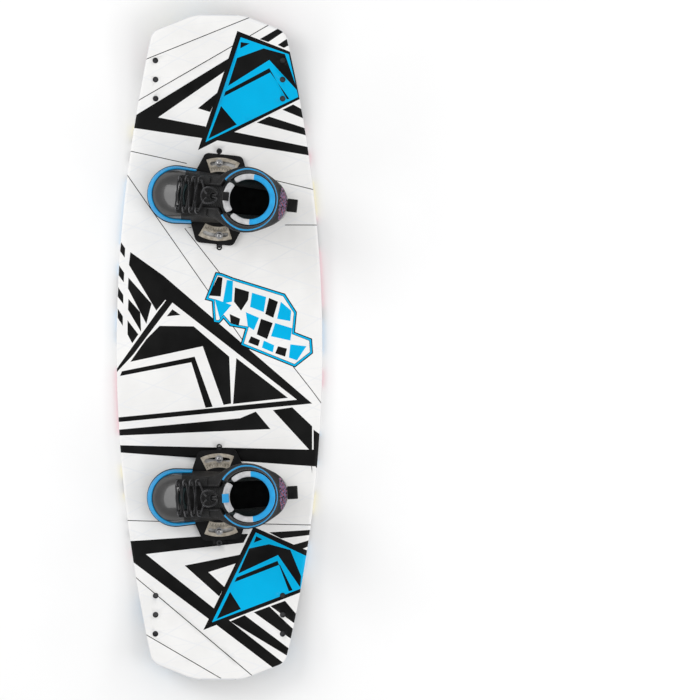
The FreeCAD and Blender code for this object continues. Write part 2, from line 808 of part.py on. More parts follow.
def bolts_and_washers():
    """Two M6 bolts and their washers, in the frame of the plate at rest; they stay with the board."""
    seat = S["washer_gap"]
    top = seat + S["washer_thickness"]
    foot = -S["plate_thickness"] - S["plate_gap"] - S["bolt_reach"]
    stem = cylinder("bolt_stem", S["bolt_radius"], top - foot, y=BOLT_CIRCLE, z=foot)
    head = cylinder("bolt_head", S["bolt_head_radius"], S["bolt_head_height"], y=BOLT_CIRCLE, z=top)
    crown = top + S["bolt_head_height"]
    hollow = cylinder("bolt_socket", S["bolt_socket_radius"], S["bolt_socket_depth"] + MARGIN,
                      y=BOLT_CIRCLE, z=crown - S["bolt_socket_depth"])
    bolt = cut("bolt", fuse("bolt_blank", stem, head), hollow)
    disc = cylinder("washer_disc", S["washer_radius"], S["washer_thickness"], y=BOLT_CIRCLE, z=seat)
    hole = cylinder("washer_hole", S["bolt_radius"], S["washer_thickness"] + 2 * MARGIN,
                    y=BOLT_CIRCLE, z=seat - MARGIN)
    washer = cut("washer", disc, hole)
    return both_ends("bolts", bolt), both_ends("washers", washer)


def boot_shell():
    """The boot's outside, and the toe cap, quarters, heel panel, cuff and piping cut from its wall."""
    outer, cavity = last("outer", ZERO), last("cavity", S["shell_wall"])
    shell = cut("shell", outer, cavity)
    throat_x = TOE_TIP + S["throat_setback"]
    cuff_low = S["piping_height"] + S["piping_width"] / 2
    quarter_top = S["piping_height"] - S["piping_width"] / 2
    cuff_gap_end = cuff_front() + S["cuff_gap_depth"]
    toe_zone = zone("toe_zone", x_high=TOE_TIP + S["toe_cap_length"], z_high=S["toe_cap_height"])
    heel_zone = zone("heel_zone", x_low=HEEL_TIP - S["heel_panel_length"], z_high=S["heel_panel_height"])
    throat = zone("throat", throat_x, cuff_gap_end, S["throat_half_width"], S["toe_level"])
    cuff_gap = zone("cuff_gap", throat_x, cuff_gap_end, S["cuff_gap_half_width"], S["toe_level"])
    cuff_zone = zone("cuff_zone", z_low=cuff_low, z_high=S["cuff_level"])
    toe_cap = cut("toe_cap", common("toe_shell", shell, toe_zone), throat)
    heel_panel = common("heel_panel", shell, heel_zone)
    low_zone = zone("low_zone", z_high=quarter_top)
    taken = fuse("taken", toe_zone, heel_zone, throat)
    quarters = cut("quarters", common("low_shell", shell, low_zone), taken)
    cuff = cut("cuff", common("high_shell", shell, cuff_zone), cuff_gap)
    proud = last("piping_last", -S["piping_wall"])
    band_zone = zone("band_zone", z_low=quarter_top, z_high=cuff_low)
    band = common("band", cut("band_wall", proud, cavity), band_zone)
    piping = cut("piping", band, cuff_gap)
    return outer, toe_cap, quarters, heel_panel, cuff, piping


def cuff_front():
    """Where the cuff level begins, at its front."""
    return boot_levels()[LOW_LEVELS.index("instep") + 2][1]


def boot_sole(outer):
    """The moulded sole under the boot, the removable footbed, and the rand that wraps the toe."""
    height, toe, ball, heel, heel_radius = boot_levels()[0]
    outline = hull("sole_outline", toe, ball, heel, heel_radius)
    sole = extrude("sole", outline, height)
    inset = S["shell_wall"] + S["layer_gap"]
    bed_outline = hull("bed_outline", toe + inset, ball - inset, heel - inset, heel_radius - inset, height)
    bed = extrude("bed", bed_outline, S["footbed_thickness"])
    rand_zone = zone("rand_zone", x_high=TOE_TIP + S["rand_length"], z_low=height, z_high=S["rand_top"])
    rand_last = last("rand_last", -S["rand_wall"])
    upper_rand = cut("upper_rand", common("rand_block", rand_last, rand_zone), outer)
    wall = S["rand_wall"]
    lower = hull("rand_outline", toe - wall, ball + wall, heel + wall, heel_radius + wall, S["rand_bottom"])
    skirt_zone = zone("skirt_zone", x_high=TOE_TIP + S["rand_length"])
    skirt = common("skirt_block", extrude("skirt", lower, height - S["rand_bottom"]), skirt_zone)
    rand = fuse("rand", upper_rand, cut("skirt_ring", skirt, sole))
    return sole, bed, rand


def boot_linings():
    """The foam liner, the padded collar on top of it, and the tongue in its two parts."""
    outside = S["shell_wall"] + S["layer_gap"]
    liner_out = last("liner_out", outside)
    liner_in = last("liner_in", outside + S["liner_wall"])
    low = S["sole_height"] + S["footbed_thickness"]
    top = S["cuff_level"]
    gap_end = cuff_front() + S["cuff_gap_depth"]
    throat_x = TOE_TIP + S["throat_setback"]
    side_gap = S["tongue_half_width"] + S["layer_gap"]
    tongue_slot = zone("tongue_slot", throat_x, gap_end, side_gap, S["toe_level"])
    liner_wall = cut("liner_wall", liner_out, liner_in)
    liner_block = common("liner_block", liner_wall, zone("liner_zone", z_low=low, z_high=top))
    liner = cut("liner", liner_block, tongue_slot)
    toe_x = throat_x + S["layer_gap"]
    fold, half_gap = S["tongue_hinge_level"], S["tongue_hinge_gap"] / 2
    tongue_end = gap_end - S["layer_gap"]
    lower_zone = zone("lower_tongue_zone", toe_x, tongue_end, S["tongue_half_width"],
                      S["toe_level"] + S["layer_gap"], fold - half_gap)
    tongue_wall = cut("tongue_wall", liner_out, last("tongue_in", outside + S["tongue_wall"]))
    tongue = common("tongue", tongue_wall, lower_zone)
    flap_zone = zone("flap_zone", cuff_front() - 4 * MARGIN, tongue_end, S["flap_half_width"],
                     fold + half_gap, S["flap_top"])
    flap_wall = cut("flap_wall", last("flap_out", S["flap_inset"]), last("flap_in", S["flap_wall"]))
    flap = common("flap", flap_wall, flap_zone)
    collar_out, collar_in = last("collar_out", S["collar_inset"]), last("collar_in", S["collar_wall"])
    collar_wall = cut("collar_ring", collar_out, collar_in)
    collar_zone = zone("collar_zone", z_low=top, z_high=top + S["collar_height"])
    mouth = zone("mouth", throat_x, gap_end, S["cuff_gap_half_width"], S["toe_level"])
    collar = cut("collar", common("collar_block", collar_wall, collar_zone), mouth)
    return liner, tongue, flap, collar


# ---------------------------------------------------------------- laces


def front_height(solid, x, y):
    """Height of the instep or the toe above a point in plan, below the tongue's hinge."""
    ray = Part.makeLine(Vector(x, y, 0), Vector(x, y, S["tongue_hinge_level"].value))
    return solid.Shape.common(ray).BoundBox.ZMax


def tube(name, points, radius):
    """A round cord along straight runs that are joined by arcs as large as the runs allow."""
    edges, radii, start = [], [], points[0]
    for before, corner, after in zip(points, points[1:], points[2:]):
        back, on = before - corner, after - corner
        turn = math.pi - back.getAngle(on)
        reach = 0.45 * min(back.Length, on.Length)
        bend_radius = reach / math.tan(turn / 2)
        back.normalize()
        on.normalize()
        first, final = corner + back * reach, corner + on * reach
        inward = (back + on).normalize()
        middle = corner + inward * (bend_radius / math.cos(turn / 2) - bend_radius)
        edges.append(Part.LineSegment(start, first).toShape())
        edges.append(Part.Arc(first, middle, final).toShape())
        radii.append(bend_radius)
        start = final
    edges.append(Part.LineSegment(start, points[-1]).toShape())
    path = Part.Wire(edges)
    circle = Part.Wire(Part.Circle(points[0], points[1] - points[0], radius).toShape())
    made = doc.addObject("Part::Feature", name)
    made.Shape = path.makePipeShell([circle], True, False)
    expected = math.pi * radius**2 * path.Length
    print(f"{name}: {path.Length:.1f} mm long, volume {made.Shape.Volume / expected:.3f} of section x length,"
          f" radii {', '.join(f'{r:.1f}' for r in radii)}")
    return made


def lace_rows(outer):
    """For each row of rings: the middle between its rings, the way up the instep, and the way out of it."""
    rows = []
    half, step = S["lace_half_spread"].value, S["lace_turn_half"].value
    for i in range(LACE_ROWS):
        x = (TOE_TIP + S["lace_row_setback"] + S["lace_row_pitch"] * i).value
        rise = front_height(outer, x + step, half) - front_height(outer, x - step, half)
        slope = math.atan2(rise, 2 * step)
        along = Vector(math.cos(slope), 0, math.sin(slope))
        normal = Vector(-math.sin(slope), 0, math.cos(slope))
        foot = Vector(x, 0, front_height(outer, x, half))
        rows.append((foot + normal * S["ring_stand"].value, along, normal))
    return rows


def lacing(outer):
    """Stays along the throat, rings that stand on the stays, and the way that the lace takes."""
    zones = []
    for name, low, high in (("right", S["stay_inner"], S["stay_outer"]),
                            ("left", -S["stay_outer"], -S["stay_inner"])):
        zones.append(box(f"stay_zone_{name}", (TOE_TIP + S["stay_setback"], low, S["toe_level"]),
                         (TOE_TIP + S["stay_end_setback"], high, S["piping_height"] - MARGIN)))
    stay_wall = cut("stay_wall", last("stay_last", -S["stay_thickness"]), outer)
    stays = common("stays", stay_wall, fuse("stay_zones", *zones))
    rows = lace_rows(outer)
    rings = []
    for i, (centre, along, _) in enumerate(rows):
        for name, side in (("right", 1), ("left", -1)):
            ring = doc.addObject("Part::Torus", f"ring_{name}_{i}")
            bind(ring, Radius1=S["ring_radius"], Radius2=S["ring_wire"])
            place = centre + Vector(0, S["lace_half_spread"].value * side, 0)
            ring.Placement = Placement(place, Rotation(Vector(0, 0, 1), along))
            rings.append(ring)
    return stays, group("rings", rings), rows


def lace_path(outer, rows, tail_start, tail_way):
    """From one end of the loop through the lock, down through the rings, and back up to the other end."""
    half = Vector(0, S["lace_half_spread"].value, 0)
    gap = Vector(0, S["tail_half_gap"].value, 0)
    turn = S["lace_turn_half"].value
    lower = S["lace_lift"].value
    upper = lower + (S["lace_radius"] * 2 + S["lace_crossing_gap"]).value
    tail_end = tail_start + tail_way * S["tail_length"].value
    downward = [(i, -1) for i in reversed(range(LACE_ROWS))]
    upward = [(i, 1) for i in range(LACE_ROWS)]
    side, previous = 1, None
    points = [tail_end + gap, tail_start + gap]
    for i, way in downward + upward:
        centre, along, _ = rows[i]
        place = centre + half * side
        if previous is not None and previous[0] != i:
            cross = (previous[1] + place) / 2
            height = upper if way < 0 else lower
            points.append(Vector(cross.x, cross.y, front_height(outer, cross.x, cross.y) + height))
        points += [place - along * (turn * way), place + along * (turn * way)]
        previous = (i, place)
        side = -side
    return points + [tail_start - gap, tail_end - gap]


# The free loop beyond the lock. Each point is its distance up the tails, to the side, and outwards.
LOOP_ROUTE = [
    (0.2, 2.2, 0),
    (9, 3.4, 1.5),
    (16, 8.5, 7),
    (15, 14.5, 16),
    (5, 17, 21.5),
    (-6, 16, 21.5),
    (-16, 11.5, 19.5),
    (-22, 4, 18),
    (-22, -4, 18),
    (-16, -11.5, 19.5),
    (-6, -16, 21.5),
    (5, -17, 21.5),
    (15, -14.5, 16),
    (16, -8.5, 7),
    (9, -3.4, 1.5),
    (0.2, -2.2, 0),
]


def lace_and_lock(outer, rows):
    """The lace through the rings, the free loop at its ends, and the barrel lock that slides on its tails."""
    x = (TOE_TIP + S["tail_setback"]).value
    angle = math.radians(S["tail_angle"].value)
    way = Vector(math.cos(angle), 0, math.sin(angle))
    out = Vector(-math.sin(angle), 0, math.cos(angle))
    start = Vector(x, 0, front_height(outer, x, 0)) + out * S["tail_lift"].value
    radius = S["lace_radius"].value
    lace = tube("lace", lace_path(outer, rows, start, way), radius)
    end = start + way * S["tail_length"].value
    route = [end + way * up + Vector(0, across, 0) + out * away for up, across, away in LOOP_ROUTE]
    loop = tube("loop", route, radius)
    barrel = cylinder("lock_barrel", S["lock_radius"], S["lock_length"])
    bore = cylinder("lock_bore", S["lock_bore"], S["lock_length"] + 2 * MARGIN, z=ZERO - MARGIN)
    lock = cut("lock", barrel, bore)
    lock.Placement = Placement(start + way * S["lock_start"].value, Rotation(Vector(0, 0, 1), way))
    return lace, loop, group("lock_set", [lock])


def loops(outer):
    """The webbing loop that the boot is pulled on by, and the smaller one on the tongue."""
    half = S["heel_loop_width"] / 2
    far = HEEL_TIP + S["heel_loop_standoff"]
    low, high, wall = S["heel_loop_bottom"], S["heel_loop_top"], S["heel_loop_wall"]
    block = box("heel_block", (HEEL_TIP - 4 * MARGIN, -half, low), (far, half, high))
    hollow = box("heel_hollow", (HEEL_TIP - 5 * MARGIN, -half - MARGIN, low + wall),
                 (far - wall, half + MARGIN, high - wall))
    heel_loop = cut("heel_loop", cut("heel_band", block, hollow), outer)
    half = S["pull_loop_width"] / 2
    start = cuff_front() + S["flap_inset"]
    wall, top = S["pull_loop_wall"], S["flap_top"] + S["pull_loop_reach"]
    end = start + S["pull_loop_gap"] + wall * 2
    block = box("pull_block", (start, -half, S["flap_top"]), (end, half, top))
    hollow = box("pull_hollow", (start + wall, -half - MARGIN, S["flap_top"] - MARGIN),
                 (end - wall, half + MARGIN, top - wall))
    return heel_loop, cut("pull_loop", block, hollow)


def stand(piece, side, label, turn):
    """Stands a piece of the boot's own frame on the board, at the front or the rear binding."""
    placed = group(f"{side}_{piece.Name}_placed", [piece])
    y = S["stance"] / 2 * (1 if side == "front" else -1)
    put(placed, y=y, z=S["board_thickness"] + S["plate_gap"] + S["plate_thickness"], turn=turn)
    return keep(placed, f"{side}_{label}")


def bindings():
    """Both bindings: bolts and washers in line with the inserts, and all the rest turned on its plate."""
    plate, gauges = plate_and_gauges()
    bolts, washers = bolts_and_washers()
    outer, toe_cap, quarters, heel_panel, cuff, piping = boot_shell()
    sole, bed, rand = boot_sole(outer)
    liner, tongue, flap, collar = boot_linings()
    doc.recompute()
    stays, rings, rows = lacing(outer)
    lace, loop, lock = lace_and_lock(outer, rows)
    heel_loop, pull_loop = loops(outer)
    fixed = [(bolts, "binding_bolts"), (washers, "bolt_washers")]
    turning = [
        (plate, "binding_plate"), (gauges, "angle_gauges"), (sole, "sole"), (bed, "footbed"),
        (rand, "toe_rand"), (toe_cap, "toe_cap"), (quarters, "quarters"), (heel_panel, "heel_panel"),
        (cuff, "cuff"), (piping, "cuff_piping"), (liner, "liner"), (collar, "collar"),
        (tongue, "tongue"), (flap, "tongue_flap"), (stays, "lacing_stays"), (rings, "lace_rings"),
        (lace, "lace"), (loop, "lace_loop"), (lock, "lace_lock"), (heel_loop, "heel_loop"),
        (pull_loop, "tongue_pull_loop"),
    ]
    for side in ("front", "rear"):
        for piece, label in fixed:
            stand(piece, side, label, ZERO)
        for piece, label in turning:
            stand(piece, side, label, S[side + "_turn"])


# ---------------------------------------------------------------- checks and files


def check_and_write():
    """Stops at any failed object or bad shape, then writes one file for each sub-part."""
    doc.recompute()
    failed = [item.Name for item in doc.Objects if "Invalid" in item.State or "Error" in item.State]
    if failed:
        raise RuntimeError(f"these objects failed: {failed}")
    for item in PARTS:
        if item.Shape.isNull() or not item.Shape.isValid() or not item.Shape.Solids:
            raise RuntimeError(f"{item.Label} has no valid shape")
    os.makedirs("parts", exist_ok=True)
    for item in PARTS:
        solids = len(item.Shape.Solids)
        print(f"{item.Label}: {solids} solids, {item.Shape.Volume / 1000:.2f} cm3")
        item.Shape.exportStep(f"parts/{item.Label}.step")
    print(f"{len(PARTS)} nodes")


board()
bindings()
check_and_write()
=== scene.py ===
# %% [markdown]
# # A wakeboard with lace-up boots
# The board is a foam core between two printed glass sheets. Two boots stand on turning plates, and four
# fins are screwed to the base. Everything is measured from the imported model, which is loaded first and
# never moved: each visible piece is worked out around it.

# %% Load the frame
import json
import math

import bmesh
import bpy
import numpy as np
from mathutils import Matrix, Vector
from mathutils.geometry import delaunay_2d_cdt


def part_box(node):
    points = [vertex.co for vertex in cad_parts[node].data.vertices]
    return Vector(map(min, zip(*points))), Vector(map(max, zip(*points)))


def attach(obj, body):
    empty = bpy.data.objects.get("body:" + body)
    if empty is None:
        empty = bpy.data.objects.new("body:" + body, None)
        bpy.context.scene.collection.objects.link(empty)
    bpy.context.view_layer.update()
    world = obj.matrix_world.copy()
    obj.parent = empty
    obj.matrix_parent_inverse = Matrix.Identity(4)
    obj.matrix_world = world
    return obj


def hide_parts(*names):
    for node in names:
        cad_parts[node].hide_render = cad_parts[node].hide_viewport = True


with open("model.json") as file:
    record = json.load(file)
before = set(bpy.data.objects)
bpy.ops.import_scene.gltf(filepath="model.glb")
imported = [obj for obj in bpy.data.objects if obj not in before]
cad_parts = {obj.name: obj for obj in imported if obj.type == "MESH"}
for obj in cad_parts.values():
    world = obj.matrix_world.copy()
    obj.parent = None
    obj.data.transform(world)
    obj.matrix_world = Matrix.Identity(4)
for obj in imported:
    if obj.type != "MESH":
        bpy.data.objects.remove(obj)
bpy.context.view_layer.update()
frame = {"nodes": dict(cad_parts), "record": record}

JOINTS = {joint["name"]: joint for joint in frame["record"]["behaviour"]["joints"]}

# %% [markdown]
# ## Camera, floor and light
# The board is seen square from above and from far away, so that its outline isn't stretched. A long lens
# does that. Two soft lights hang high at the sides, where the flat deck can't mirror them to the camera,
# and two long strips low at the sides draw the bright lines where the deck bends down to its rails.

# %% Camera
FIELD = 1.482
EYE_HEIGHT = 9.0
SENSOR = 36.0
VIEW_CENTRE = (0.276, -0.006)
camera_data = bpy.data.cameras.new("camera")
camera_data.sensor_width = SENSOR
camera_data.lens = SENSOR * EYE_HEIGHT / FIELD
camera_data.clip_end = 40.0
camera = bpy.data.objects.new("camera", camera_data)
camera.location = (*VIEW_CENTRE, EYE_HEIGHT)
bpy.context.scene.collection.objects.link(camera)
bpy.context.scene.camera = camera
print("lens", round(camera_data.lens, 1), "mm")


# %% Floor and lights
def area_light(name, place, aim, size, power):
    """A rectangular light at a place, turned to face a point."""
    data = bpy.data.lights.new(name, "AREA")
    data.shape = "RECTANGLE"
    data.size, data.size_y = size
    data.energy = power
    light = bpy.data.objects.new(name, data)
    light.location = place
    light.rotation_euler = (Vector(aim) - Vector(place)).to_track_quat("-Z", "Y").to_euler()
    bpy.context.scene.collection.objects.link(light)
    return light


area_light("left_light", (-2.3, 1.5, 2.7), (0, 0, 0), (1.6, 1.6), 34)
area_light("right_light", (2.5, -1.2, 2.7), (0, 0, 0), (1.6, 1.6), 26)
area_light("left_strip", (-2.2, 0, 1.3), (0, 0, 0.05), (3.0, 0.5), 16)
area_light("right_strip", (2.2, 0, 1.3), (0, 0, 0.05), (3.0, 0.5), 16)
world = bpy.data.worlds.new("studio")
world.use_nodes = True
world.node_tree.nodes["Background"].inputs["Color"].default_value = (1, 1, 1, 1)
world.node_tree.nodes["Background"].inputs["Strength"].default_value = 0.7
bpy.context.scene.world = world
bpy.context.scene.view_settings.view_transform = "Standard"

floor_mesh = bpy.data.meshes.new("floor")
FLOOR_HALF = 7.0
floor_corners = [(x * FLOOR_HALF, y * FLOOR_HALF, 0) for x, y in ((-1, -1), (1, -1), (1, 1), (-1, 1))]
floor_mesh.from_pydata(floor_corners, [], [(0, 1, 2, 3)])
floor = bpy.data.objects.new("floor", floor_mesh)
bpy.context.scene.collection.objects.link(floor)

# %% [markdown]
# ## Finishes
# Every finish is a small tree of nodes on one shader. Noise in the object's own coordinates varies the
# colour and the roughness, and a finer pattern gives the bump: grain for leather, crossed waves for cloth,
# fine speckle for moulded nylon. Coordinates are in metres, so a scale of 1000 is one cell per millimetre.


# %% The helper that every finish starts from
def finish(name, color, roughness, metallic=0.0, coat=0.0, sheen=0.0, specular=0.5):
    """A material with one shader, whose plain values are set on its sockets."""
    material = bpy.data.materials.new(name)
    material.use_nodes = True
    shader = material.node_tree.nodes["Principled BSDF"]
    shader.inputs["Base Color"].default_value = (*color, 1)
    shader.inputs["Roughness"].default_value = roughness
    shader.inputs["Metallic"].default_value = metallic
    shader.inputs["Coat Weight"].default_value = coat
    shader.inputs["Coat Roughness"].default_value = 0.06
    shader.inputs["Sheen Weight"].default_value = sheen
    shader.inputs["Sheen Roughness"].default_value = 0.4
    shader.inputs["Specular IOR Level"].default_value = specular
    return material


def node(material, kind, **values):
    """Adds a node and sets its properties and its unlinked sockets by name."""
    made = material.node_tree.nodes.new(kind)
    for key, value in values.items():
        if hasattr(made, key):
            setattr(made, key, value)
        else:
            made.inputs[key.replace("_", " ")].default_value = value
    return made


def link(material, source, target):
    material.node_tree.links.new(source, target)


def coordinates(material, stretch=(1, 1, 1), turn=(0, 0, 0)):
    """Object coordinates, stretched and turned."""
    place = node(material, "ShaderNodeTexCoord")
    mapping = node(material, "ShaderNodeMapping", Scale=stretch, Rotation=turn)
    link(material, place.outputs["Object"], mapping.inputs["Vector"])
    return mapping.outputs["Vector"]


def mottle(material, low, high, scale, vector=None, detail=4.0):
    """Colour that wanders between two tones with a cloudy noise."""
    noise = node(material, "ShaderNodeTexNoise", Scale=scale, Detail=detail)
    link(material, vector or coordinates(material), noise.inputs["Vector"])
    ramp = node(material, "ShaderNodeValToRGB")
    ramp.color_ramp.elements[0].position = 0.35
    ramp.color_ramp.elements[1].position = 0.65
    ramp.color_ramp.elements[0].color = (*low, 1)
    ramp.color_ramp.elements[1].color = (*high, 1)
    link(material, noise.outputs["Fac"], ramp.inputs["Fac"])
    shader = material.node_tree.nodes["Principled BSDF"]
    link(material, ramp.outputs["Color"], shader.inputs["Base Color"])
    return ramp.outputs["Color"]


def patchy_roughness(material, low, high, scale):
    """Roughness that drifts between two values, as handling and wear leave it."""
    noise = node(material, "ShaderNodeTexNoise", Scale=scale, Detail=3.0)
    link(material, coordinates(material), noise.inputs["Vector"])
    span = node(material, "ShaderNodeMapRange", To_Min=low, To_Max=high)
    link(material, noise.outputs["Fac"], span.inputs["Value"])
    link(material, span.outputs["Result"], material.node_tree.nodes["Principled BSDF"].inputs["Roughness"])


def raise_bump(material, height, strength, distance):
    """Sends a height to the shader as bump; distance is in metres."""
    bump = node(material, "ShaderNodeBump", Strength=strength, Distance=distance)
    link(material, height, bump.inputs["Height"])
    link(material, bump.outputs["Normal"], material.node_tree.nodes["Principled BSDF"].inputs["Normal"])


# %% [markdown]
# Relief comes next. Moulded nylon and rubber keep the fine speckle of a grit-blasted mould. Leather has
# rounded cells with narrow valleys, cloth and webbing have crossed threads, and metal has fine scratches.
# Each could be modelled or painted, but they are far smaller than a face of the mesh, so bump is enough.


# %% Relief for moulded, leather, cloth and metal surfaces
def speckled(material, scale, strength, distance=0.0004):
    """The fine random texture of a mould that was blasted with grit."""
    noise = node(material, "ShaderNodeTexNoise", Scale=scale, Detail=2.0)
    link(material, coordinates(material), noise.inputs["Vector"])
    raise_bump(material, noise.outputs["Fac"], strength, distance)


def grained(material, scale, strength):
    """Leather grain: cells with rounded tops and narrow valleys between them."""
    cells = node(material, "ShaderNodeTexVoronoi", Scale=scale)
    link(material, coordinates(material), cells.inputs["Vector"])
    raise_bump(material, cells.outputs["Distance"], strength, 0.0006)


def woven(material, scale, strength, turn=0.6):
    """Two sets of threads: waves along X and waves along Y, of which the higher one shows."""
    across = coordinates(material, turn=(turn, turn, 0))
    waves = []
    for direction in ("X", "Y"):
        wave = node(material, "ShaderNodeTexWave", wave_type="BANDS", bands_direction=direction,
                    Scale=scale, Distortion=0.4)
        link(material, across, wave.inputs["Vector"])
        waves.append(wave.outputs["Fac"])
    top = node(material, "ShaderNodeMath", operation="MAXIMUM")
    link(material, waves[0], top.inputs[0])
    link(material, waves[1], top.inputs[1])
    raise_bump(material, top.outputs["Value"], strength, 0.0005)


def brushed(material, strength):
    """Fine scratches in one direction, from noise that is stretched along X."""
    noise = node(material, "ShaderNodeTexNoise", Scale=900.0, Detail=2.0)
    link(material, coordinates(material, stretch=(0.05, 1, 1)), noise.inputs["Vector"])
    raise_bump(material, noise.outputs["Fac"], strength, 0.0002)


def plain_of(name, low, high, rough, scale=60.0, **shader):
    """A finish with two close tones and patchy roughness, ready for its bump."""
    material = finish(name, low, rough[0], **shader)
    mottle(material, low, high, scale)
    patchy_roughness(material, rough[0], rough[1], scale / 3)
    return material


# %% [markdown]
# ### Moulded parts
# The plates and fins are glass-filled nylon and the soles are rubber. All are near black with a dull
# shine, so they differ mostly in roughness and in the size of their speckle.

# %% Nylon and rubber
nylon = plain_of("moulded_nylon", (0.004, 0.004, 0.0042), (0.009, 0.009, 0.0095), (0.38, 0.55),
                 specular=0.14)
speckled(nylon, 1500, 0.25)
fin_nylon = plain_of("fin_nylon", (0.006, 0.006, 0.0065), (0.012, 0.012, 0.0125), (0.3, 0.5), specular=0.14)
speckled(fin_nylon, 900, 0.2)
rubber = plain_of("black_rubber", (0.004, 0.004, 0.004), (0.009, 0.009, 0.009), (0.5, 0.7), specular=0.14)
speckled(rubber, 1200, 0.3)
blue_rubber = plain_of("blue_rubber", (0.0, 0.25, 0.56), (0.0, 0.30, 0.62), (0.4, 0.55))
speckled(blue_rubber, 1300, 0.15)

# %% [markdown]
# ### Leather and cloth
# The toe caps are patent leather, which is leather under a clear coat, so they get a coat and almost no
# grain. The quarters are grained, and the cuffs, laces and straps are woven.

# %% Leather and cloth
patent = plain_of("patent_leather", (0.006, 0.006, 0.006), (0.014, 0.013, 0.013), (0.24, 0.34), coat=0.6,
                  specular=0.5)
grained(patent, 260, 0.06)
leather = plain_of("black_leather", (0.003, 0.003, 0.003), (0.008, 0.0075, 0.0075), (0.42, 0.6),
                   specular=0.14)
grained(leather, 700, 0.5)
canvas = plain_of("black_canvas", (0.003, 0.003, 0.003), (0.009, 0.009, 0.0095), (0.6, 0.8), sheen=0.15,
                  specular=0.14)
woven(canvas, 260, 0.5)
webbing = plain_of("black_webbing", (0.005, 0.005, 0.005), (0.012, 0.012, 0.0125), (0.5, 0.7),
                   sheen=0.06, specular=0.14)
woven(webbing, 330, 0.8, turn=0.2)
thread = plain_of("grey_thread", (0.07, 0.07, 0.075), (0.11, 0.11, 0.115), (0.6, 0.7))
speckled(thread, 2500, 0.4)
cord_weave = plain_of("braided_cord", (0.012, 0.012, 0.013), (0.04, 0.04, 0.043), (0.5, 0.65), sheen=0.2,
                      specular=0.14)
woven(cord_weave, 420, 0.9, turn=0.78)
piping_blue = plain_of("blue_piping", (0.0, 0.26, 0.58), (0.0, 0.32, 0.66), (0.4, 0.55), sheen=0.1)
woven(piping_blue, 420, 0.4)
grey_knit = plain_of("grey_knit", (0.44, 0.44, 0.45), (0.56, 0.56, 0.57), (0.7, 0.85), 90.0, sheen=0.3)
woven(grey_knit, 300, 0.5)
blue_knit = plain_of("blue_knit", (0.0, 0.28, 0.62), (0.0, 0.34, 0.70), (0.6, 0.75), 90.0, sheen=0.1)
woven(blue_knit, 300, 0.4)
lining = plain_of("dark_lining", (0.004, 0.012, 0.013), (0.01, 0.035, 0.038), (0.7, 0.9), 40.0, sheen=0.2)
woven(lining, 240, 0.6)
bed_cloth = plain_of("footbed_cloth", (0.012, 0.012, 0.013), (0.03, 0.03, 0.032), (0.75, 0.9))
woven(bed_cloth, 200, 0.6)

# %% [markdown]
# ### Metal
# Bolts and washers are satin steel, the inserts and cups get steel painted dark as painted shade for the
# shadowed holes that they lie in, and the angle gauges are a warm cast alloy.

# %% Metal, foam and floor
steel = plain_of("satin_steel", (0.34, 0.34, 0.35), (0.46, 0.46, 0.46), (0.3, 0.42), metallic=1.0)
brushed(steel, 0.2)
brass = plain_of("brass", (0.56, 0.42, 0.18), (0.68, 0.54, 0.26), (0.25, 0.4), metallic=1.0)
brushed(brass, 0.2)
gauge_metal = plain_of("gauge_metal", (0.34, 0.30, 0.24), (0.56, 0.51, 0.43), (0.35, 0.5), 120.0,
                       metallic=0.5)
brushed(gauge_metal, 0.35)
# Painted shade: steel darkened to stand for the shade in the holes of the inserts and cups; the fin screws
# share it.
steel_painted_shade = plain_of("steel_painted_shade", (0.03, 0.03, 0.032), (0.07, 0.07, 0.073), (0.4, 0.5), metallic=0.9)
brushed(steel_painted_shade, 0.15)
ring_metal = plain_of("ring_metal", (0.05, 0.05, 0.052), (0.12, 0.12, 0.125), (0.28, 0.4), metallic=0.8)
brushed(ring_metal, 0.1)
foam = plain_of("foam", (0.72, 0.68, 0.52), (0.8, 0.76, 0.6), (0.8, 0.95))
speckled(foam, 600, 0.6)
floor_paint = plain_of("floor_paint", (0.86, 0.86, 0.86), (0.88, 0.88, 0.88), (0.6, 0.7), 3.0)
floor.data.materials.append(floor_paint)
print(len(bpy.data.materials), "finishes")


# %% [markdown]
# ### Print on the board
# The art is ink under clear lacquer. One finish for each ink is enough, because every face of the sheets
# knows its ink. The white ground also shows faint slanted lines of the reinforcement under the lacquer.


# %% Printed finishes
def printed(name, low, high, coat=0.03):
    """Ink under clear lacquer, with faint long waves in the lacquer."""
    material = plain_of(name, low, high, (0.3, 0.42), 14.0, coat=coat, specular=0.05)
    noise = node(material, "ShaderNodeTexNoise", Scale=22.0, Detail=1.0)
    link(material, coordinates(material, stretch=(1, 0.2, 1)), noise.inputs["Vector"])
    raise_bump(material, noise.outputs["Fac"], 0.12, 0.002)
    return material


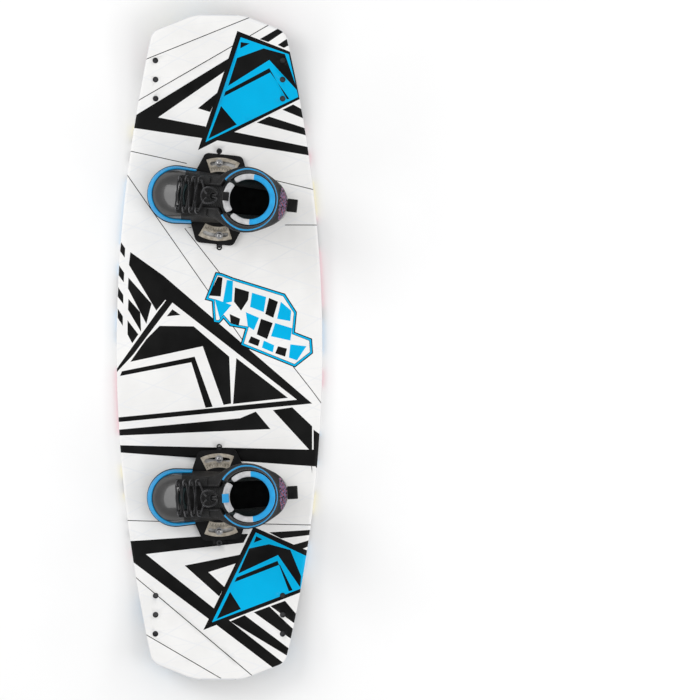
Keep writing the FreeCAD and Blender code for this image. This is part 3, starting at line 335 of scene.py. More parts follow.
def faint_grid(material):
    """Darkens a printed ground along families of slanted lines, like reinforcement under the lacquer.

    Each family is the fractional part of distance over pitch; where it is under the line's share,
    the ground is a little greyer."""
    shader = material.node_tree.nodes["Principled BSDF"]
    ground = shader.inputs["Base Color"].links[0].from_socket
    for angle, pitch, share in ((1.05, 0.052, 0.05), (-1.25, 0.061, 0.05), (1.45, 0.034, 0.03)):
        split = node(material, "ShaderNodeSeparateXYZ")
        link(material, coordinates(material, turn=(0, 0, angle)), split.inputs["Vector"])
        steps = node(material, "ShaderNodeMath", operation="DIVIDE")
        steps.inputs[1].default_value = pitch
        link(material, split.outputs["X"], steps.inputs[0])
        part = node(material, "ShaderNodeMath", operation="FRACT")
        link(material, steps.outputs["Value"], part.inputs[0])
        line = node(material, "ShaderNodeMath", operation="LESS_THAN")
        line.inputs[1].default_value = share
        link(material, part.outputs["Value"], line.inputs[0])
        mix = node(material, "ShaderNodeMix", data_type="RGBA")
        mix.inputs["B"].default_value = (0.74, 0.75, 0.77, 1)
        weaken = node(material, "ShaderNodeMath", operation="MULTIPLY")
        weaken.inputs[1].default_value = 0.55
        link(material, line.outputs["Value"], weaken.inputs[0])
        link(material, weaken.outputs["Value"], mix.inputs["Factor"])
        link(material, ground, mix.inputs["A"])
        ground = mix.outputs["Result"]
    link(material, ground, shader.inputs["Base Color"])


INKS = {
    "white": printed("white_ink", (0.77, 0.765, 0.755), (0.82, 0.815, 0.805)),
    "black": printed("black_ink", (0.004, 0.004, 0.004), (0.009, 0.009, 0.009)),
    "blue": printed("blue_ink", (0.0, 0.39, 0.70), (0.0, 0.42, 0.74)),
    "cyan": printed("cyan_ink", (0.0, 0.39, 0.77), (0.0, 0.45, 0.84)),
    "magenta": printed("magenta_ink", (0.80, 0.008, 0.14), (0.86, 0.012, 0.17)),
    "yellow": printed("yellow_ink", (0.96, 0.78, 0.0), (1.0, 0.84, 0.01)),
}
INK_ORDER = list(INKS)
faint_grid(INKS["white"])

# %% [markdown]
# ## Surfaces on a grid
# A surface is a table of points with two directions, u and v. The faces are the same for every such table,
# so one helper turns any table into a mesh. It closes the table in a direction where the first and last
# lines should meet, and turns the faces outwards from a given middle.


# %% Grid to mesh
def grid_faces(rows, columns, wrap_u=False, wrap_v=False):
    """The quads of a table of points: corner (i, j), (i+1, j), (i+1, j+1), (i, j+1)."""
    i = np.arange(rows if wrap_u else rows - 1)
    j = np.arange(columns if wrap_v else columns - 1)
    i, j = [a.ravel() for a in np.meshgrid(i, j, indexing="ij")]
    after_i, after_j = (i + 1) % rows, (j + 1) % columns
    corners = [i * columns + j, after_i * columns + j, after_i * columns + after_j, i * columns + after_j]
    return np.stack(corners, axis=1)


def solid_faces(rows, columns):
    """Quads of a closed tube of rings (rows) with a cap on each end ring."""
    faces = grid_faces(rows, columns, wrap_v=True).tolist()
    first = list(range(columns))
    last = list(range((rows - 1) * columns, rows * columns))
    return faces + [first[::-1], last]


def make(name, points, faces, materials):
    """A mesh object at the origin, with its place in its points."""
    mesh = bpy.data.meshes.new(name)
    mesh.from_pydata(np.asarray(points).reshape(-1, 3).tolist(), [], [list(face) for face in faces])
    for material in materials if isinstance(materials, (list, tuple)) else [materials]:
        mesh.materials.append(material)
    mesh.update()
    made = bpy.data.objects.new(name, mesh)
    bpy.context.scene.collection.objects.link(made)
    return made


def point_out(thing):
    """Merges doubles and turns the faces of a closed mesh outwards."""
    work = bmesh.new()
    work.from_mesh(thing.data)
    bmesh.ops.remove_doubles(work, verts=work.verts, dist=1e-6)
    bmesh.ops.recalc_face_normals(work, faces=work.faces)
    work.to_mesh(thing.data)
    work.free()
    return thing


def of_faces(thing, kind):
    """An array with the normal or the center of every face."""
    values = np.zeros(len(thing.data.polygons) * 3)
    thing.data.polygons.foreach_get(kind, values)
    return values.reshape(-1, 3)


def away_from(thing, middle):
    """Flips an open surface if, on the whole, its faces look towards a middle point."""
    outward = of_faces(thing, "center") - np.asarray(middle)
    if (of_faces(thing, "normal") * outward).sum() < 0:
        thing.data.flip_normals()
    return thing


def smooth(thing, angle=40):
    """Smooth shading, except over edges sharper than an angle in degrees."""
    mesh = thing.data
    mesh.polygons.foreach_set("use_smooth", np.ones(len(mesh.polygons), bool))
    mesh.set_sharp_from_angle(angle=math.radians(angle))
    return thing


def thicken(thing, wall, edge=0.0006):
    """Gives a surface a wall on its inner side, and rounds the wall's edges."""
    solid = thing.modifiers.new("wall", "SOLIDIFY")
    solid.thickness, solid.offset, solid.use_even_offset = wall, -1, True
    solid.thickness_clamp = 0.5
    round_edges(thing, edge)
    return thing


def round_edges(thing, width, segments=2, angle=35):
    bevel = thing.modifiers.new("round", "BEVEL")
    bevel.width, bevel.segments = width, segments
    bevel.limit_method, bevel.angle_limit = "ANGLE", math.radians(angle)
    bevel.use_clamp_overlap = True
    bevel.harden_normals = False
    return thing


def settle(thing, body, slot, *nodes):
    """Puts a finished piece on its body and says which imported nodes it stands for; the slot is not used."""
    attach(thing, body)
    if nodes:
        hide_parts(*nodes)
    return thing


# %% [markdown]
# ## The board's surfaces
# Across the board, the deck is flat in the middle and bends down to the rails at a fixed angle, and the
# base does the same upwards. Along the board both are flat and then follow an arc, so a height anywhere
# comes from turning that cross-section about the arc's centre.

# %% Board sizes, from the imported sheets
_, deck_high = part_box("deck_sheet")
HALF_LENGTH, HALF_WIDTH = deck_high.y, deck_high.x
SIDE_RADIUS, SHOULDER_DROP, END_HALF = 2.890, 0.0345, 0.050
DECK_FLAT, DECK_ARC, DECK_BEND, DECK_ANGLE = 0.410, 0.900, 0.163, math.radians(8)
BASE_FLAT, BASE_ARC, BASE_BEND, BASE_ANGLE = 0.320, 1.186, 0.186, math.radians(4)
RAIL_ROUND = 0.006
CHANNEL_DEPTH, CHANNEL_WALL = 0.0012, 0.004
CHANNELS = [(-0.173, -0.133, -0.262, 0.262), (0.133, 0.173, -0.262, 0.262),
            (-0.038, 0.038, 0.4, 0.75), (-0.038, 0.038, -0.75, -0.4)]
THICKNESS = 0.024
print("half length", round(HALF_LENGTH, 4), "half width", round(HALF_WIDTH, 4))


def bend_drop(x, start, angle, blend=0.008):
    """How far a sheet has left its flat at x: a slope beyond the start, eased over a short stretch.

    Inside the stretch the drop is the slope's tangent times d squared over 4 times the half stretch."""
    past = np.abs(x) - start
    eased = (past + blend) ** 2 / (4 * blend)
    return math.tan(angle) * np.where(past > blend, past, np.where(past > -blend, eased, 0))


def rocker(y, flat, arc, height):
    """Height after the ends bend up: the section's point turned about the arc's centre."""
    along = np.maximum(np.abs(y) - flat, 0)
    centre = arc + 0 * y
    radius = centre - height
    return centre - np.sqrt(np.maximum(radius**2 - along**2, 1e-9))


def deck_height(x, y):
    flat = THICKNESS - bend_drop(x, DECK_BEND, DECK_ANGLE)
    return rocker(y, DECK_FLAT, DECK_ARC + THICKNESS, flat)


def base_height(x, y):
    """The base with its shallow channels, whose walls are eased."""
    flat = bend_drop(x, BASE_BEND, BASE_ANGLE)
    for low_x, high_x, low_y, high_y in CHANNELS:
        inside = np.minimum(np.minimum(x - low_x, high_x - x), np.minimum(y - low_y, high_y - y))
        share = np.clip(inside / CHANNEL_WALL + 0.5, 0, 1)
        flat = flat + CHANNEL_DEPTH * share * share * (3 - 2 * share)
    return rocker(y, BASE_FLAT, BASE_ARC, flat)


# %% The outline in plan
def fillet(before, corner, after, radius, steps=10):
    """Points of the arc of a radius that rounds a corner."""
    back, on = before - corner, after - corner
    back, on = back / np.linalg.norm(back), on / np.linalg.norm(on)
    half = math.acos(np.clip(back @ on, -1, 1)) / 2
    middle = (back + on) / np.linalg.norm(back + on)
    centre = corner + middle * radius / math.sin(half)
    start, end = corner + back * radius / math.tan(half), corner + on * radius / math.tan(half)
    first = math.atan2(*(start - centre)[::-1])
    sweep = math.atan2(*(end - centre)[::-1]) - first
    sweep = (sweep + math.pi) % (2 * math.pi) - math.pi
    angles = first + sweep * np.linspace(0, 1, steps)
    return centre + radius * np.stack([np.cos(angles), np.sin(angles)], axis=1)


def quarter_outline():
    """From the middle of the heel rail to the middle of the nose: a long arc, a shoulder and a flat end."""
    shoulder_y = HALF_LENGTH - SHOULDER_DROP
    y = np.linspace(0, shoulder_y, 60)
    x = HALF_WIDTH - (SIDE_RADIUS - np.sqrt(SIDE_RADIUS**2 - y**2))
    side = np.stack([x, y], axis=1)
    shoulder, end = side[-1], np.array([END_HALF, HALF_LENGTH])
    first = fillet(side[-8], shoulder, end, 0.030)
    second = fillet(shoulder, end, np.array([0.0, HALF_LENGTH]), 0.090)
    kept = side[side[:, 1] < first[0, 1] - 0.002]
    return np.concatenate([kept, first, second])


def board_outline():
    """The whole outline, counter-clockwise, from four mirrored quarters."""
    quarter = quarter_outline()
    nose = np.concatenate([quarter, (quarter * (-1, 1))[::-1]])
    tail = (nose * (1, -1))[::-1][1:-1]
    return np.concatenate([nose, tail])


def shrink(outline, inset):
    """Moves each side of a counter-clockwise outline inwards, and its corners to where they then meet."""
    way = np.roll(outline, -1, axis=0) - outline
    way = way / np.linalg.norm(way, axis=1)[:, None]
    inward = np.stack([-way[:, 1], way[:, 0]], axis=1)
    before = np.roll(inward, 1, axis=0)
    share = 1 + (inward * before).sum(axis=1)
    return outline + (inward + before) * (inset / np.maximum(share, 0.2))[:, None]


OUTLINE = board_outline()
print(len(OUTLINE), "outline points")

# %% [markdown]
# ## Printed art
# The art is a set of straight-edged shapes: bands, kites and facets on a white ground on the deck, and
# crowded shards on the base. Each shape is an ink and its corners in millimetres from the middle of the
# board, in the order in which they are printed over each other. The shapes are cut into the sheet itself,
# so their edges stay sharp: a triangulation takes every edge as a fixed line, and each triangle gets the
# ink of the last shape that it lies in.

# %% Deck art
DECK_ART = [
    # bands at the nose
    ("black", [(-176, 490), (-182, 463), (-35, 441), (-29, 466), (-129, 485), (10, 580), (23, 610)]),
    ("black", [(-35, 466), (-35, 441), (-1, 436), (196, 404), (192, 422), (39, 453)]),
    ("black", [(79, 474), (105, 487), (192, 459), (192, 445)]),
    ("black", [(133, 501), (156, 512), (192, 493), (192, 477)]),
    ("black", [(-45, 504), (-5, 536), (3, 549), (-19, 496)]),
    ("black", [(86, 648), (125, 670), (139, 665), (104, 642)]),
    ("black", [(124, 636), (148, 652), (150, 637), (137, 630)]),
    # kite at the nose
    ("black", [(39, 665), (150, 622), (177, 527), (-45, 416)]),
    ("blue", [(46, 652), (147, 617), (167, 528), (-29, 433)]),
    ("black", [(46, 642), (65, 639), (45, 629)]),
    ("black", [(38, 609), (94, 629), (139, 617), (166, 540), (106, 605), (19, 551)]),
    ("black", [(13, 539), (106, 588), (143, 523), (148, 524), (108, 579), (10, 529)]),
    ("black", [(4, 509), (37, 470), (-23, 440)]),
    # striped bars on the toe rail
    ("black", [(-208, 222), (-199, 209), (-200, 189), (-210, 203)]),
    ("black", [(-212, 173), (-201, 157), (-202, 137), (-213, 152)]),
    ("black", [(-214, 127), (-203, 110), (-203, 91), (-215, 107)]),
    ("black", [(-215, 82), (-204, 65), (-204, 45), (-215, 62)]),
    ("black", [(-192, 147), (-143, 92), (-154, 49), (-193, 124)]),
    ("black", [(-192, 102), (-167, 74), (-165, 32), (-193, 79)]),
    ("black", [(-194, 57), (-171, 27), (-184, 8), (-194, 27)]),
    # long bar and triangle in the middle
    ("black", [(-188, 201), (-118, 151), (196, -119), (164, -112), (-114, 100), (-191, 174)]),
    ("black", [(-188, 201), (-114, 100), (-133, 77), (-191, 174)]),
    ("black", [(-100, 115), (196, -119), (-220, -159), (-218, -47), (-129, 77)]),
    ("white", [(-99, 94), (164, -111), (-220, -149), (-218, -54), (-182, -16)]),
    ("black", [(-99, 80), (-82, 68), (-111, 65)]),
    ("black", [(-154, 17), (-126, 45), (-54, 44), (21, -20), (25, -119), (9, -122), (-35, 2), (-188, -31)]),
    ("black", [(36, -23), (145, -107), (29, -120)]),
    ("black", [(-206, -51), (-52, -20), (-14, -126), (-29, -128), (-59, -32), (-210, -61)]),
    # bars below the triangle
    ("black", [(-220, -175), (44, -150), (77, -136), (108, -173), (-218, -187)]),
    ("black", [(113, -133), (154, -127), (196, -167), (196, -268), (190, -217)]),
    ("black", [(199, -174), (224, -193), (224, -283), (199, -246)]),
    # bar across the deck under the rear boot
    ("black", [(-218, -207), (218, -217), (218, -253), (-218, -222)]),
    # bands at the tail
    ("black", [(-194, -410), (-31, -399), (61, -394), (51, -413), (-155, -437), (-188, -451)]),
    ("black", [(-188, -417), (-186, -451), (118, -677), (137, -665), (-12, -550), (-155, -437)]),
    ("black", [(-73, -461), (44, -438), (37, -456), (-23, -475), (11, -506), (0, -526)]),
    ("black", [(24, -578), (54, -565), (158, -642), (150, -653)]),
    ("black", [(73, -559), (106, -547), (169, -606), (164, -623)]),
    ("black", [(108, -546), (139, -535), (173, -575), (171, -591)]),
    ("black", [(105, -391), (207, -385), (207, -395), (130, -404)]),
    ("black", [(154, -418), (207, -403), (207, -414), (167, -429)]),
    # kite at the tail
    ("black", [(72, -379), (196, -434), (181, -514), (-33, -596)]),
    ("blue", [(77, -391), (192, -445), (179, -507), (-15, -580)]),
    ("black", [(78, -399), (91, -406), (73, -413)]),
    ("black", [(63, -425), (105, -416), (150, -428), (173, -484), (171, -507), (124, -439), (40, -478)]),
    ("black", [(37, -486), (123, -451), (147, -515), (155, -513), (128, -459), (32, -496)]),
    ("black", [(23, -516), (46, -552), (-5, -573)]),
]
PATCH_OUTLINE = [
    (-31, 100), (-8, 159), (7, 156), (30, 147), (139, 113), (164, 74), (160, 32), (196, 18),
    (198, -13), (160, -43), (44, 4), (54, 38), (22, 44), (9, 59), (1, 50), (-13, 52), (-16, 96),
]
PATCH_BLOCKS = [
    ("black", [(-3, 149), (7, 147), (3, 107), (-22, 109)]),
    ("blue", [(16, 142), (29, 140), (27, 96), (7, 92)]),
    ("black", [(33, 126), (63, 117), (61, 100), (46, 77), (31, 96)]),
    ("blue", [(69, 115), (99, 106), (94, 74), (65, 85)]),
    ("black", [(105, 104), (124, 96), (114, 62), (97, 70)]),
    ("blue", [(130, 96), (152, 77), (150, 55), (122, 60)]),
    ("blue", [(-10, 102), (26, 89), (1, 60)]),
    ("black", [(22, 70), (44, 60), (41, 45), (24, 51)]),
    ("blue", [(56, 74), (84, 62), (73, 36), (60, 44)]),
    ("black", [(88, 60), (113, 51), (101, 17), (79, 27)]),
    ("blue", [(118, 51), (154, 40), (150, 14), (109, 23)]),
    ("black", [(67, 23), (86, 15), (82, 2), (61, 10)]),
    ("blue", [(94, 14), (116, 4), (113, -11), (90, -1)]),
    ("black", [(124, 2), (143, -3), (139, -20), (118, -13)]),
    ("blue", [(150, 6), (184, 2), (164, -28), (147, -22)]),
]
HAIRLINES = [
    [(-160, 604), (66, 693)],
    [(-175, 518), (108, 679)],
    [(-192, 415), (-69, 388)],
    [(-199, 370), (77, -25)],
    [(-59, 253), (-73, 251), (196, -92), (218, -122)],
    [(114, 353), (207, 331)],
    [(139, 258), (215, 258)],
    [(-199, -366), (207, -376)],
    [(-179, -484), (75, -694)],
    [(-153, -606), (7, -697)],
]

# %% Base art
BASE_ART = [
    ("black", [
        (132, 680), (76, 698), (-70, 698), (-134, 672), (-160, 568), (-42, 504), (82, 484), (104, 520),
        (150, 484), (182, 472), (148, 618)
    ]),
    ("white", [(62, 554), (-20, 674), (38, 692), (-38, 686), (-42, 676), (56, 550)]),
    ("white", [
        (56, 538), (-36, 622), (-114, 642), (-114, 662), (-134, 674), (-136, 664), (-122, 634),
        (-40, 616), (50, 532)
    ]),
    ("white", [(44, 514), (50, 526), (-42, 598), (-92, 622), (-90, 610), (-42, 590)]),
    ("white", [(-42, 504), (-162, 570), (-166, 552), (-48, 490)]),
    ("cyan", [(-32, 698), (-52, 698), (-102, 636), (-48, 628)]),
    ("yellow", [(4, 682), (-6, 632), (46, 624)]),
    ("yellow", [(-94, 684), (-114, 680), (-116, 662), (-104, 650), (-80, 662)]),
    ("magenta", [(114, 684), (50, 656), (102, 642)]),
    ("cyan", [(144, 618), (4, 618), (150, 482)]),
    ("black", [(134, 612), (16, 614), (50, 582), (100, 604), (134, 578)]),
    ("black", [(146, 528), (118, 518), (146, 488)]),
    ("magenta", [(-90, 622), (-148, 626), (-152, 602), (-98, 540)]),
    ("black", [(-94, 618), (-142, 620), (-118, 604), (-98, 582)]),
    ("black", [(-128, 600), (-146, 604), (-134, 586)]),
    ("yellow", [(14, 548), (-16, 536), (-10, 516)]),
    ("black", [(138, 482), (18, 232), (36, 232), (150, 462)]),
    ("black", [(108, 496), (-24, 226), (-4, 226), (120, 490)]),
    ("black", [(68, 472), (-44, 234), (-32, 266), (86, 484)]),
    ("yellow", [(86, 480), (-38, 504), (-64, 384)]),
    ("black", [(78, 480), (42, 488), (50, 462)]),
    ("black", [(20, 492), (-36, 500), (-48, 448), (-62, 388), (-20, 412), (-36, 462)]),
    ("magenta", [(182, 468), (68, 424), (162, 340), (186, 350), (192, 414), (166, 416)]),
    ("black", [(176, 464), (138, 452), (162, 430)]),
    ("black", [(164, 428), (148, 448), (150, 420), (116, 408), (144, 400)]),
    ("yellow", [(114, 380), (50, 362), (98, 340)]),
    ("yellow", [(202, 354), (102, 312), (186, 278), (210, 280)]),
    ("cyan", [(186, 278), (144, 286), (140, 272), (166, 270)]),
    ("cyan", [(-4, 400), (-108, 420), (-128, 344), (-110, 338)]),
    ("yellow", [(-80, 386), (-102, 398), (-98, 356)]),
    ("black", [(8, 398), (-110, 338), (-38, 328)]),
    ("magenta", [(14, 398), (-58, 292), (36, 312)]),
    ("black", [(14, 384), (-4, 364), (22, 350)]),
    ("black", [(24, 346), (6, 360), (16, 336), (-10, 304), (28, 314)]),
    ("cyan", [(-44, 488), (-156, 530), (-114, 496), (-56, 456)]),
    ("black", [(-50, 452), (-74, 440), (-192, 446), (-196, 430), (-114, 426), (-58, 412)]),
    ("magenta", [(-48, 456), (-92, 478), (-150, 484), (-166, 414), (-114, 428), (-74, 440)]),
    ("yellow", [(-126, 498), (-192, 458), (-186, 446), (-74, 424)]),
    ("black", [(-114, 420), (-196, 412), (-200, 390), (-116, 400)]),
    ("black", [(-120, 376), (-206, 362), (-208, 328), (-128, 344)]),
    ("magenta", [(-38, 328), (-166, 344), (-154, 278), (-134, 284), (-102, 250), (-100, 298)]),
    ("cyan", [(-178, 398), (-212, 310), (-214, 218), (-144, 218)]),
    ("yellow", [(-102, 240), (-124, 254), (-122, 214)]),
    ("magenta", [(214, 276), (80, 270), (4, 226), (88, 170), (224, 78)]),
    ("black", [(212, 266), (132, 266), (94, 206), (96, 174), (166, 244), (216, 200)]),
    ("black", [(108, 252), (10, 226), (82, 182)]),
    ("magenta", [(86, 178), (-30, 210), (30, 126)]),
    ("black", [(126, 144), (0, 156), (4, 144), (116, 132)]),
    ("black", [
        (180, 106), (12, 122), (-16, 116), (-4, 74), (56, 116), (132, 74), (156, 16), (192, 24),
        (224, 52), (224, 78)
    ]),
    ("yellow", [(-28, 186), (-16, 122), (16, 118)]),
    ("cyan", [(164, 92), (56, 120), (34, 16)]),
    ("yellow", [(134, 74), (50, 4), (156, 10)]),
    ("magenta", [(92, 40), (12, 46), (24, -18)]),
    ("yellow", [(28, 104), (-4, 78), (18, 34), (42, 58)]),
    ("black", [(24, -18), (58, -6), (82, -46), (36, -72)]),
    ("cyan", [(-48, 232), (-224, 174), (-224, 16), (60, -146)]),
    ("black", [(-52, 216), (-78, 208), (-48, 194)]),
    ("black", [(-38, 164), (-126, 194), (-224, 146), (-224, 68), (-150, 156), (-8, 58)]),
    ("black", [(-6, 38), (-146, 136), (-214, 16), (-218, 30), (-152, 126), (4, 20)]),
    ("black", [(14, -16), (-46, -78), (48, -128)]),
    ("cyan", [(-120, -48), (-206, -56), (-96, -110), (-96, -60)]),
    ("white", [(-96, -58), (-96, -156), (-16, -152)]),
    ("black", [(90, -60), (40, -86), (42, -96), (94, -70)]),
    ("black", [(102, -86), (-10, -150), (-4, -160), (108, -94)]),
    ("black", [(192, 0), (170, -8), (170, -22), (192, -12)]),
    ("magenta", [(180, 22), (84, -20), (120, -112)]),
    ("yellow", [(182, -64), (166, -16), (154, -54)]),
    ("black", [(180, -68), (132, -98), (128, -112), (180, -80)]),
    ("cyan", [(222, 56), (200, 58), (184, -86), (220, -6)]),
    ("magenta", [(220, -42), (184, -88), (220, -84)]),
    ("black", [(200, -88), (188, -88), (192, -172), (204, -176)]),
    ("black", [(-118, -102), (-98, -112), (-96, -152), (-138, -172)]),
    ("black", [(-136, -92), (-156, -88), (-208, -208), (-186, -220)]),
    ("black", [(-160, -18), (-174, -12), (-186, -92), (-174, -88)]),
    ("black", [(-186, -6), (-196, 0), (-206, -92), (-198, -96)]),
    ("magenta", [(-148, -84), (-206, -98), (-208, -46), (-224, -46), (-220, -184), (-206, -184)]),
    ("black", [(120, -200), (64, -168), (62, -176), (118, -214)]),
    ("black", [(120, -228), (-24, -164), (6, -164), (116, -218)]),
    ("black", [(30, -214), (-80, -164), (-56, -164), (28, -198)]),
    ("cyan", [(216, -184), (104, -112), (120, -236), (144, -344), (218, -228)]),
    ("black", [(164, -152), (108, -114), (116, -178)]),
    ("black", [(216, -192), (178, -162), (118, -182), (122, -198), (178, -194), (180, -270), (218, -226)]),
    ("black", [(166, -286), (138, -284), (148, -334)]),
    ("yellow", [(-116, -144), (-212, -258), (-212, -322), (58, -312)]),
    ("black", [
        (-94, -172), (-128, -172), (-186, -232), (-212, -300), (-186, -318), (-168, -318),
        (-156, -212), (-30, -222)
    ]),
    ("black", [(-22, -234), (-140, -228), (-156, -318), (-144, -318), (-134, -238), (-22, -242)]),
    ("black", [(-6, -258), (-18, -312), (48, -308)]),
    ("cyan", [(128, -262), (64, -252), (52, -306), (40, -350), (134, -298)]),
    ("yellow", [(54, -194), (34, -252), (90, -264)]),
    ("cyan", [(56, -194), (28, -194), (20, -272)]),
    ("black", [(208, -300), (166, -316), (144, -344), (170, -406), (192, -412), (208, -360)]),
    ("yellow", [(210, -300), (176, -320), (202, -364)]),
    ("magenta", [(82, -312), (-74, -320), (-76, -338), (-50, -372), (12, -350)]),
    ("black", [
        (40, -348), (-74, -322), (-154, -322), (-202, -370), (-200, -424), (-122, -386), (18, -418),
        (52, -374)
    ]),
    ("white", [(18, -354), (-22, -358), (-52, -376), (-28, -398), (-6, -374)]),
    ("white", [(-46, -386), (-90, -326), (-88, -382)]),
    ("white", [(-148, -368), (-202, -372), (-200, -386), (-148, -386)]),
    ("white", [(-146, -398), (-200, -404), (-198, -414), (-144, -414)]),
    ("cyan", [(-154, -322), (-136, -504), (24, -488), (-62, -470)]),
    ("yellow", [(-114, -342), (-136, -330), (-118, -354)]),
    ("magenta", [(-144, -428), (-194, -430), (-140, -478)]),
    ("magenta", [(114, -378), (20, -372), (106, -470)]),
    ("yellow", [(76, -390), (52, -380), (60, -420)]),
    ("magenta", [(16, -406), (-126, -384), (-62, -468)]),
    ("black", [(-92, -390), (-124, -386), (-108, -412)]),
    ("black", [(-46, -440), (-86, -430), (-64, -462)]),
    ("cyan", [(196, -412), (140, -404), (124, -510), (190, -462)]),
    ("black", [(190, -414), (144, -406), (136, -450), (148, -438)]),
    ("black", [(156, -482), (132, -454), (128, -504)]),
    ("black", [(180, -492), (116, -478), (42, -546), (68, -610), (148, -616), (174, -562)]),
    ("cyan", [(128, -530), (110, -520), (94, -620)]),
    ("black", [(24, -488), (-128, -502), (-82, -704), (68, -704), (140, -674), (108, -620)]),
    ("white", [(36, -502), (20, -502), (-26, -686), (-16, -688)]),
    ("white", [(50, -608), (36, -588), (-4, -686), (10, -688)]),
    ("white", [(104, -544), (92, -544), (16, -682), (28, -688)]),
    ("magenta", [(112, -504), (20, -534), (52, -622)]),
    ("black", [(108, -508), (82, -514), (94, -528)]),
    ("black", [(56, -524), (24, -536), (42, -578), (42, -556)]),
    ("yellow", [(28, -562), (-22, -590), (4, -638)]),
    ("magenta", [(-6, -532), (-146, -510), (-86, -592)]),
    ("yellow", [(-52, -560), (-100, -546), (-118, -586)]),
    ("cyan", [(-88, -538), (-174, -528), (-160, -592)]),
    ("black", [(-92, -540), (-122, -536), (-114, -556)]),
    ("white", [(-68, -580), (-86, -592), (-108, -640), (-92, -640)]),
    ("cyan", [(-88, -640), (-148, -642), (-126, -674), (-86, -682)]),
    ("cyan", [(158, -614), (58, -626), (148, -662)]),
    ("white", [(-26, -660), (-68, -650), (-48, -678)]),
]


# %% Cutting the art into a sheet
def inside(points, polygon):
    """Whether each point lies in a polygon: it does if a ray from it crosses an odd number of sides."""
    x, y = points[:, 0][:, None], points[:, 1][:, None]
    start, end = polygon, np.roll(polygon, -1, axis=0)
    spans = (start[:, 1] > y) != (end[:, 1] > y)
    rise = np.where(end[:, 1] == start[:, 1], 1e-12, end[:, 1] - start[:, 1])
    crossing = (end[:, 0] - start[:, 0]) * (y - start[:, 1]) / rise + start[:, 0]
    return (spans & (x < crossing)).sum(axis=1) % 2 == 1


def circle(centre, radius, count=20):
    angles = np.linspace(0, 2 * math.pi, count, endpoint=False)
    return np.asarray(centre) + radius * np.stack([np.cos(angles), np.sin(angles)], axis=1)


def stroke(points, width):
    """A thin closed band along a bent line, half its width to each side."""
    line = np.array(points, float)
    way = np.gradient(line, axis=0)
    way = way / np.linalg.norm(way, axis=1)[:, None]
    aside = np.stack([-way[:, 1], way[:, 0]], axis=1) * width / 2
    return np.concatenate([line + aside, (line - aside)[::-1]])


def sheet_mesh(name, shapes, height, holes, lines_x, mesh_step=0.016):
    """Triangulates the plan with the shapes' edges as fixed lines, and lifts it to the sheet's height.

    Near the outline the height follows a quarter circle, which rounds the rail."""
    insets = RAIL_ROUND * (1 - np.cos(np.linspace(0, math.pi / 2, 6)))
    rings = [shrink(OUTLINE, inset) for inset in insets]
    polygons = [np.array(shape, float) / 1000 for _, shape in shapes]
    loops = rings + polygons + holes
    x = np.arange(-HALF_WIDTH + mesh_step / 2, HALF_WIDTH, mesh_step)
    y = np.arange(-HALF_LENGTH + mesh_step / 2, HALF_LENGTH, mesh_step)
    grid = np.stack(np.meshgrid(x, y), axis=-1).reshape(-1, 2)
    grid = grid[inside(grid, shrink(OUTLINE, RAIL_ROUND * 1.8))]
    lines = [np.array([(x, -0.72), (x, 0.72)]) for x in lines_x]
    points = np.concatenate(loops + lines + [grid])
    edges, start = [], 0
    for loop in loops:
        count = len(loop)
        edges += [(start + i, start + (i + 1) % count) for i in range(count)]
        start += count
    for line in lines:
        edges.append((start, start + 1))
        start += 2
    flat, _, faces, *_ = delaunay_2d_cdt([Vector(p) for p in points], edges, [], 0, 1e-6, False)
    flat, faces = np.array(flat), np.array([face for face in faces if len(face) == 3])
    centres = flat[faces].mean(axis=1)
    kept = inside(centres, OUTLINE)
    for hole in holes:
        kept &= ~inside(centres, hole)
    faces, centres = faces[kept], centres[kept]
    used, faces = np.unique(faces, return_inverse=True)
    faces, flat = faces.reshape(-1, 3), flat[used]
    ink = np.zeros(len(faces), np.int32)
    for (name_of_ink, _), polygon in zip(shapes, polygons):
        ink[inside(centres, polygon)] = INK_ORDER.index(name_of_ink)
    z = height(flat[:, 0], flat[:, 1])
    made = make(name, np.column_stack([flat, z]), faces, list(INKS.values()))
    made.data.polygons.foreach_set("material_index", ink)
    print(name, len(faces), "triangles")
    return made


def distance_in(points):
    """Distance of each point from the outline: the least over the outline's sides."""
    start = OUTLINE
    way = np.roll(OUTLINE, -1, axis=0) - start
    offset = points[:, None, :] - start[None]
    share = np.clip((offset * way).sum(axis=2) / (way**2).sum(axis=1), 0, 1)
    return np.linalg.norm(offset - way * share[..., None], axis=2).min(axis=1)


def rail_drop(x, y):
    """How far a rounded rail has fallen: r minus the root of r squared less (r - d) squared."""
    near = np.minimum(distance_in(np.stack([x, y], axis=1)), RAIL_ROUND)
    return RAIL_ROUND - np.sqrt(np.maximum(RAIL_ROUND**2 - (RAIL_ROUND - near) ** 2, 0))


def deck_top(x, y):
    return deck_height(x, y) - rail_drop(x, y)


def base_bottom(x, y):
    return base_height(x, y) + rail_drop(x, y)


# %% Holes for inserts and screws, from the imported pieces
def solid_centres(node_name, split):
    """Middles of the separate solids of a node, found by where their points cluster in plan."""
    mesh = frame["nodes"][node_name].data
    places = np.zeros(len(mesh.vertices) * 3)
    mesh.vertices.foreach_get("co", places)
    remaining = places.reshape(-1, 3)[:, :2]
    groups = []
    while len(remaining):
        near = np.linalg.norm(remaining - remaining[0], axis=1) < split
        groups.append((remaining[near].min(axis=0) + remaining[near].max(axis=0)) / 2)
        remaining = remaining[~near]
    return groups


insert_middles = solid_centres("binding_inserts", 0.0195)
cup_middles = solid_centres("fin_screw_cups", 0.02)
print(len(insert_middles), "inserts,", len(cup_middles), "fin screws")
deck_holes = [circle(middle, 0.0061) for middle in insert_middles + cup_middles]

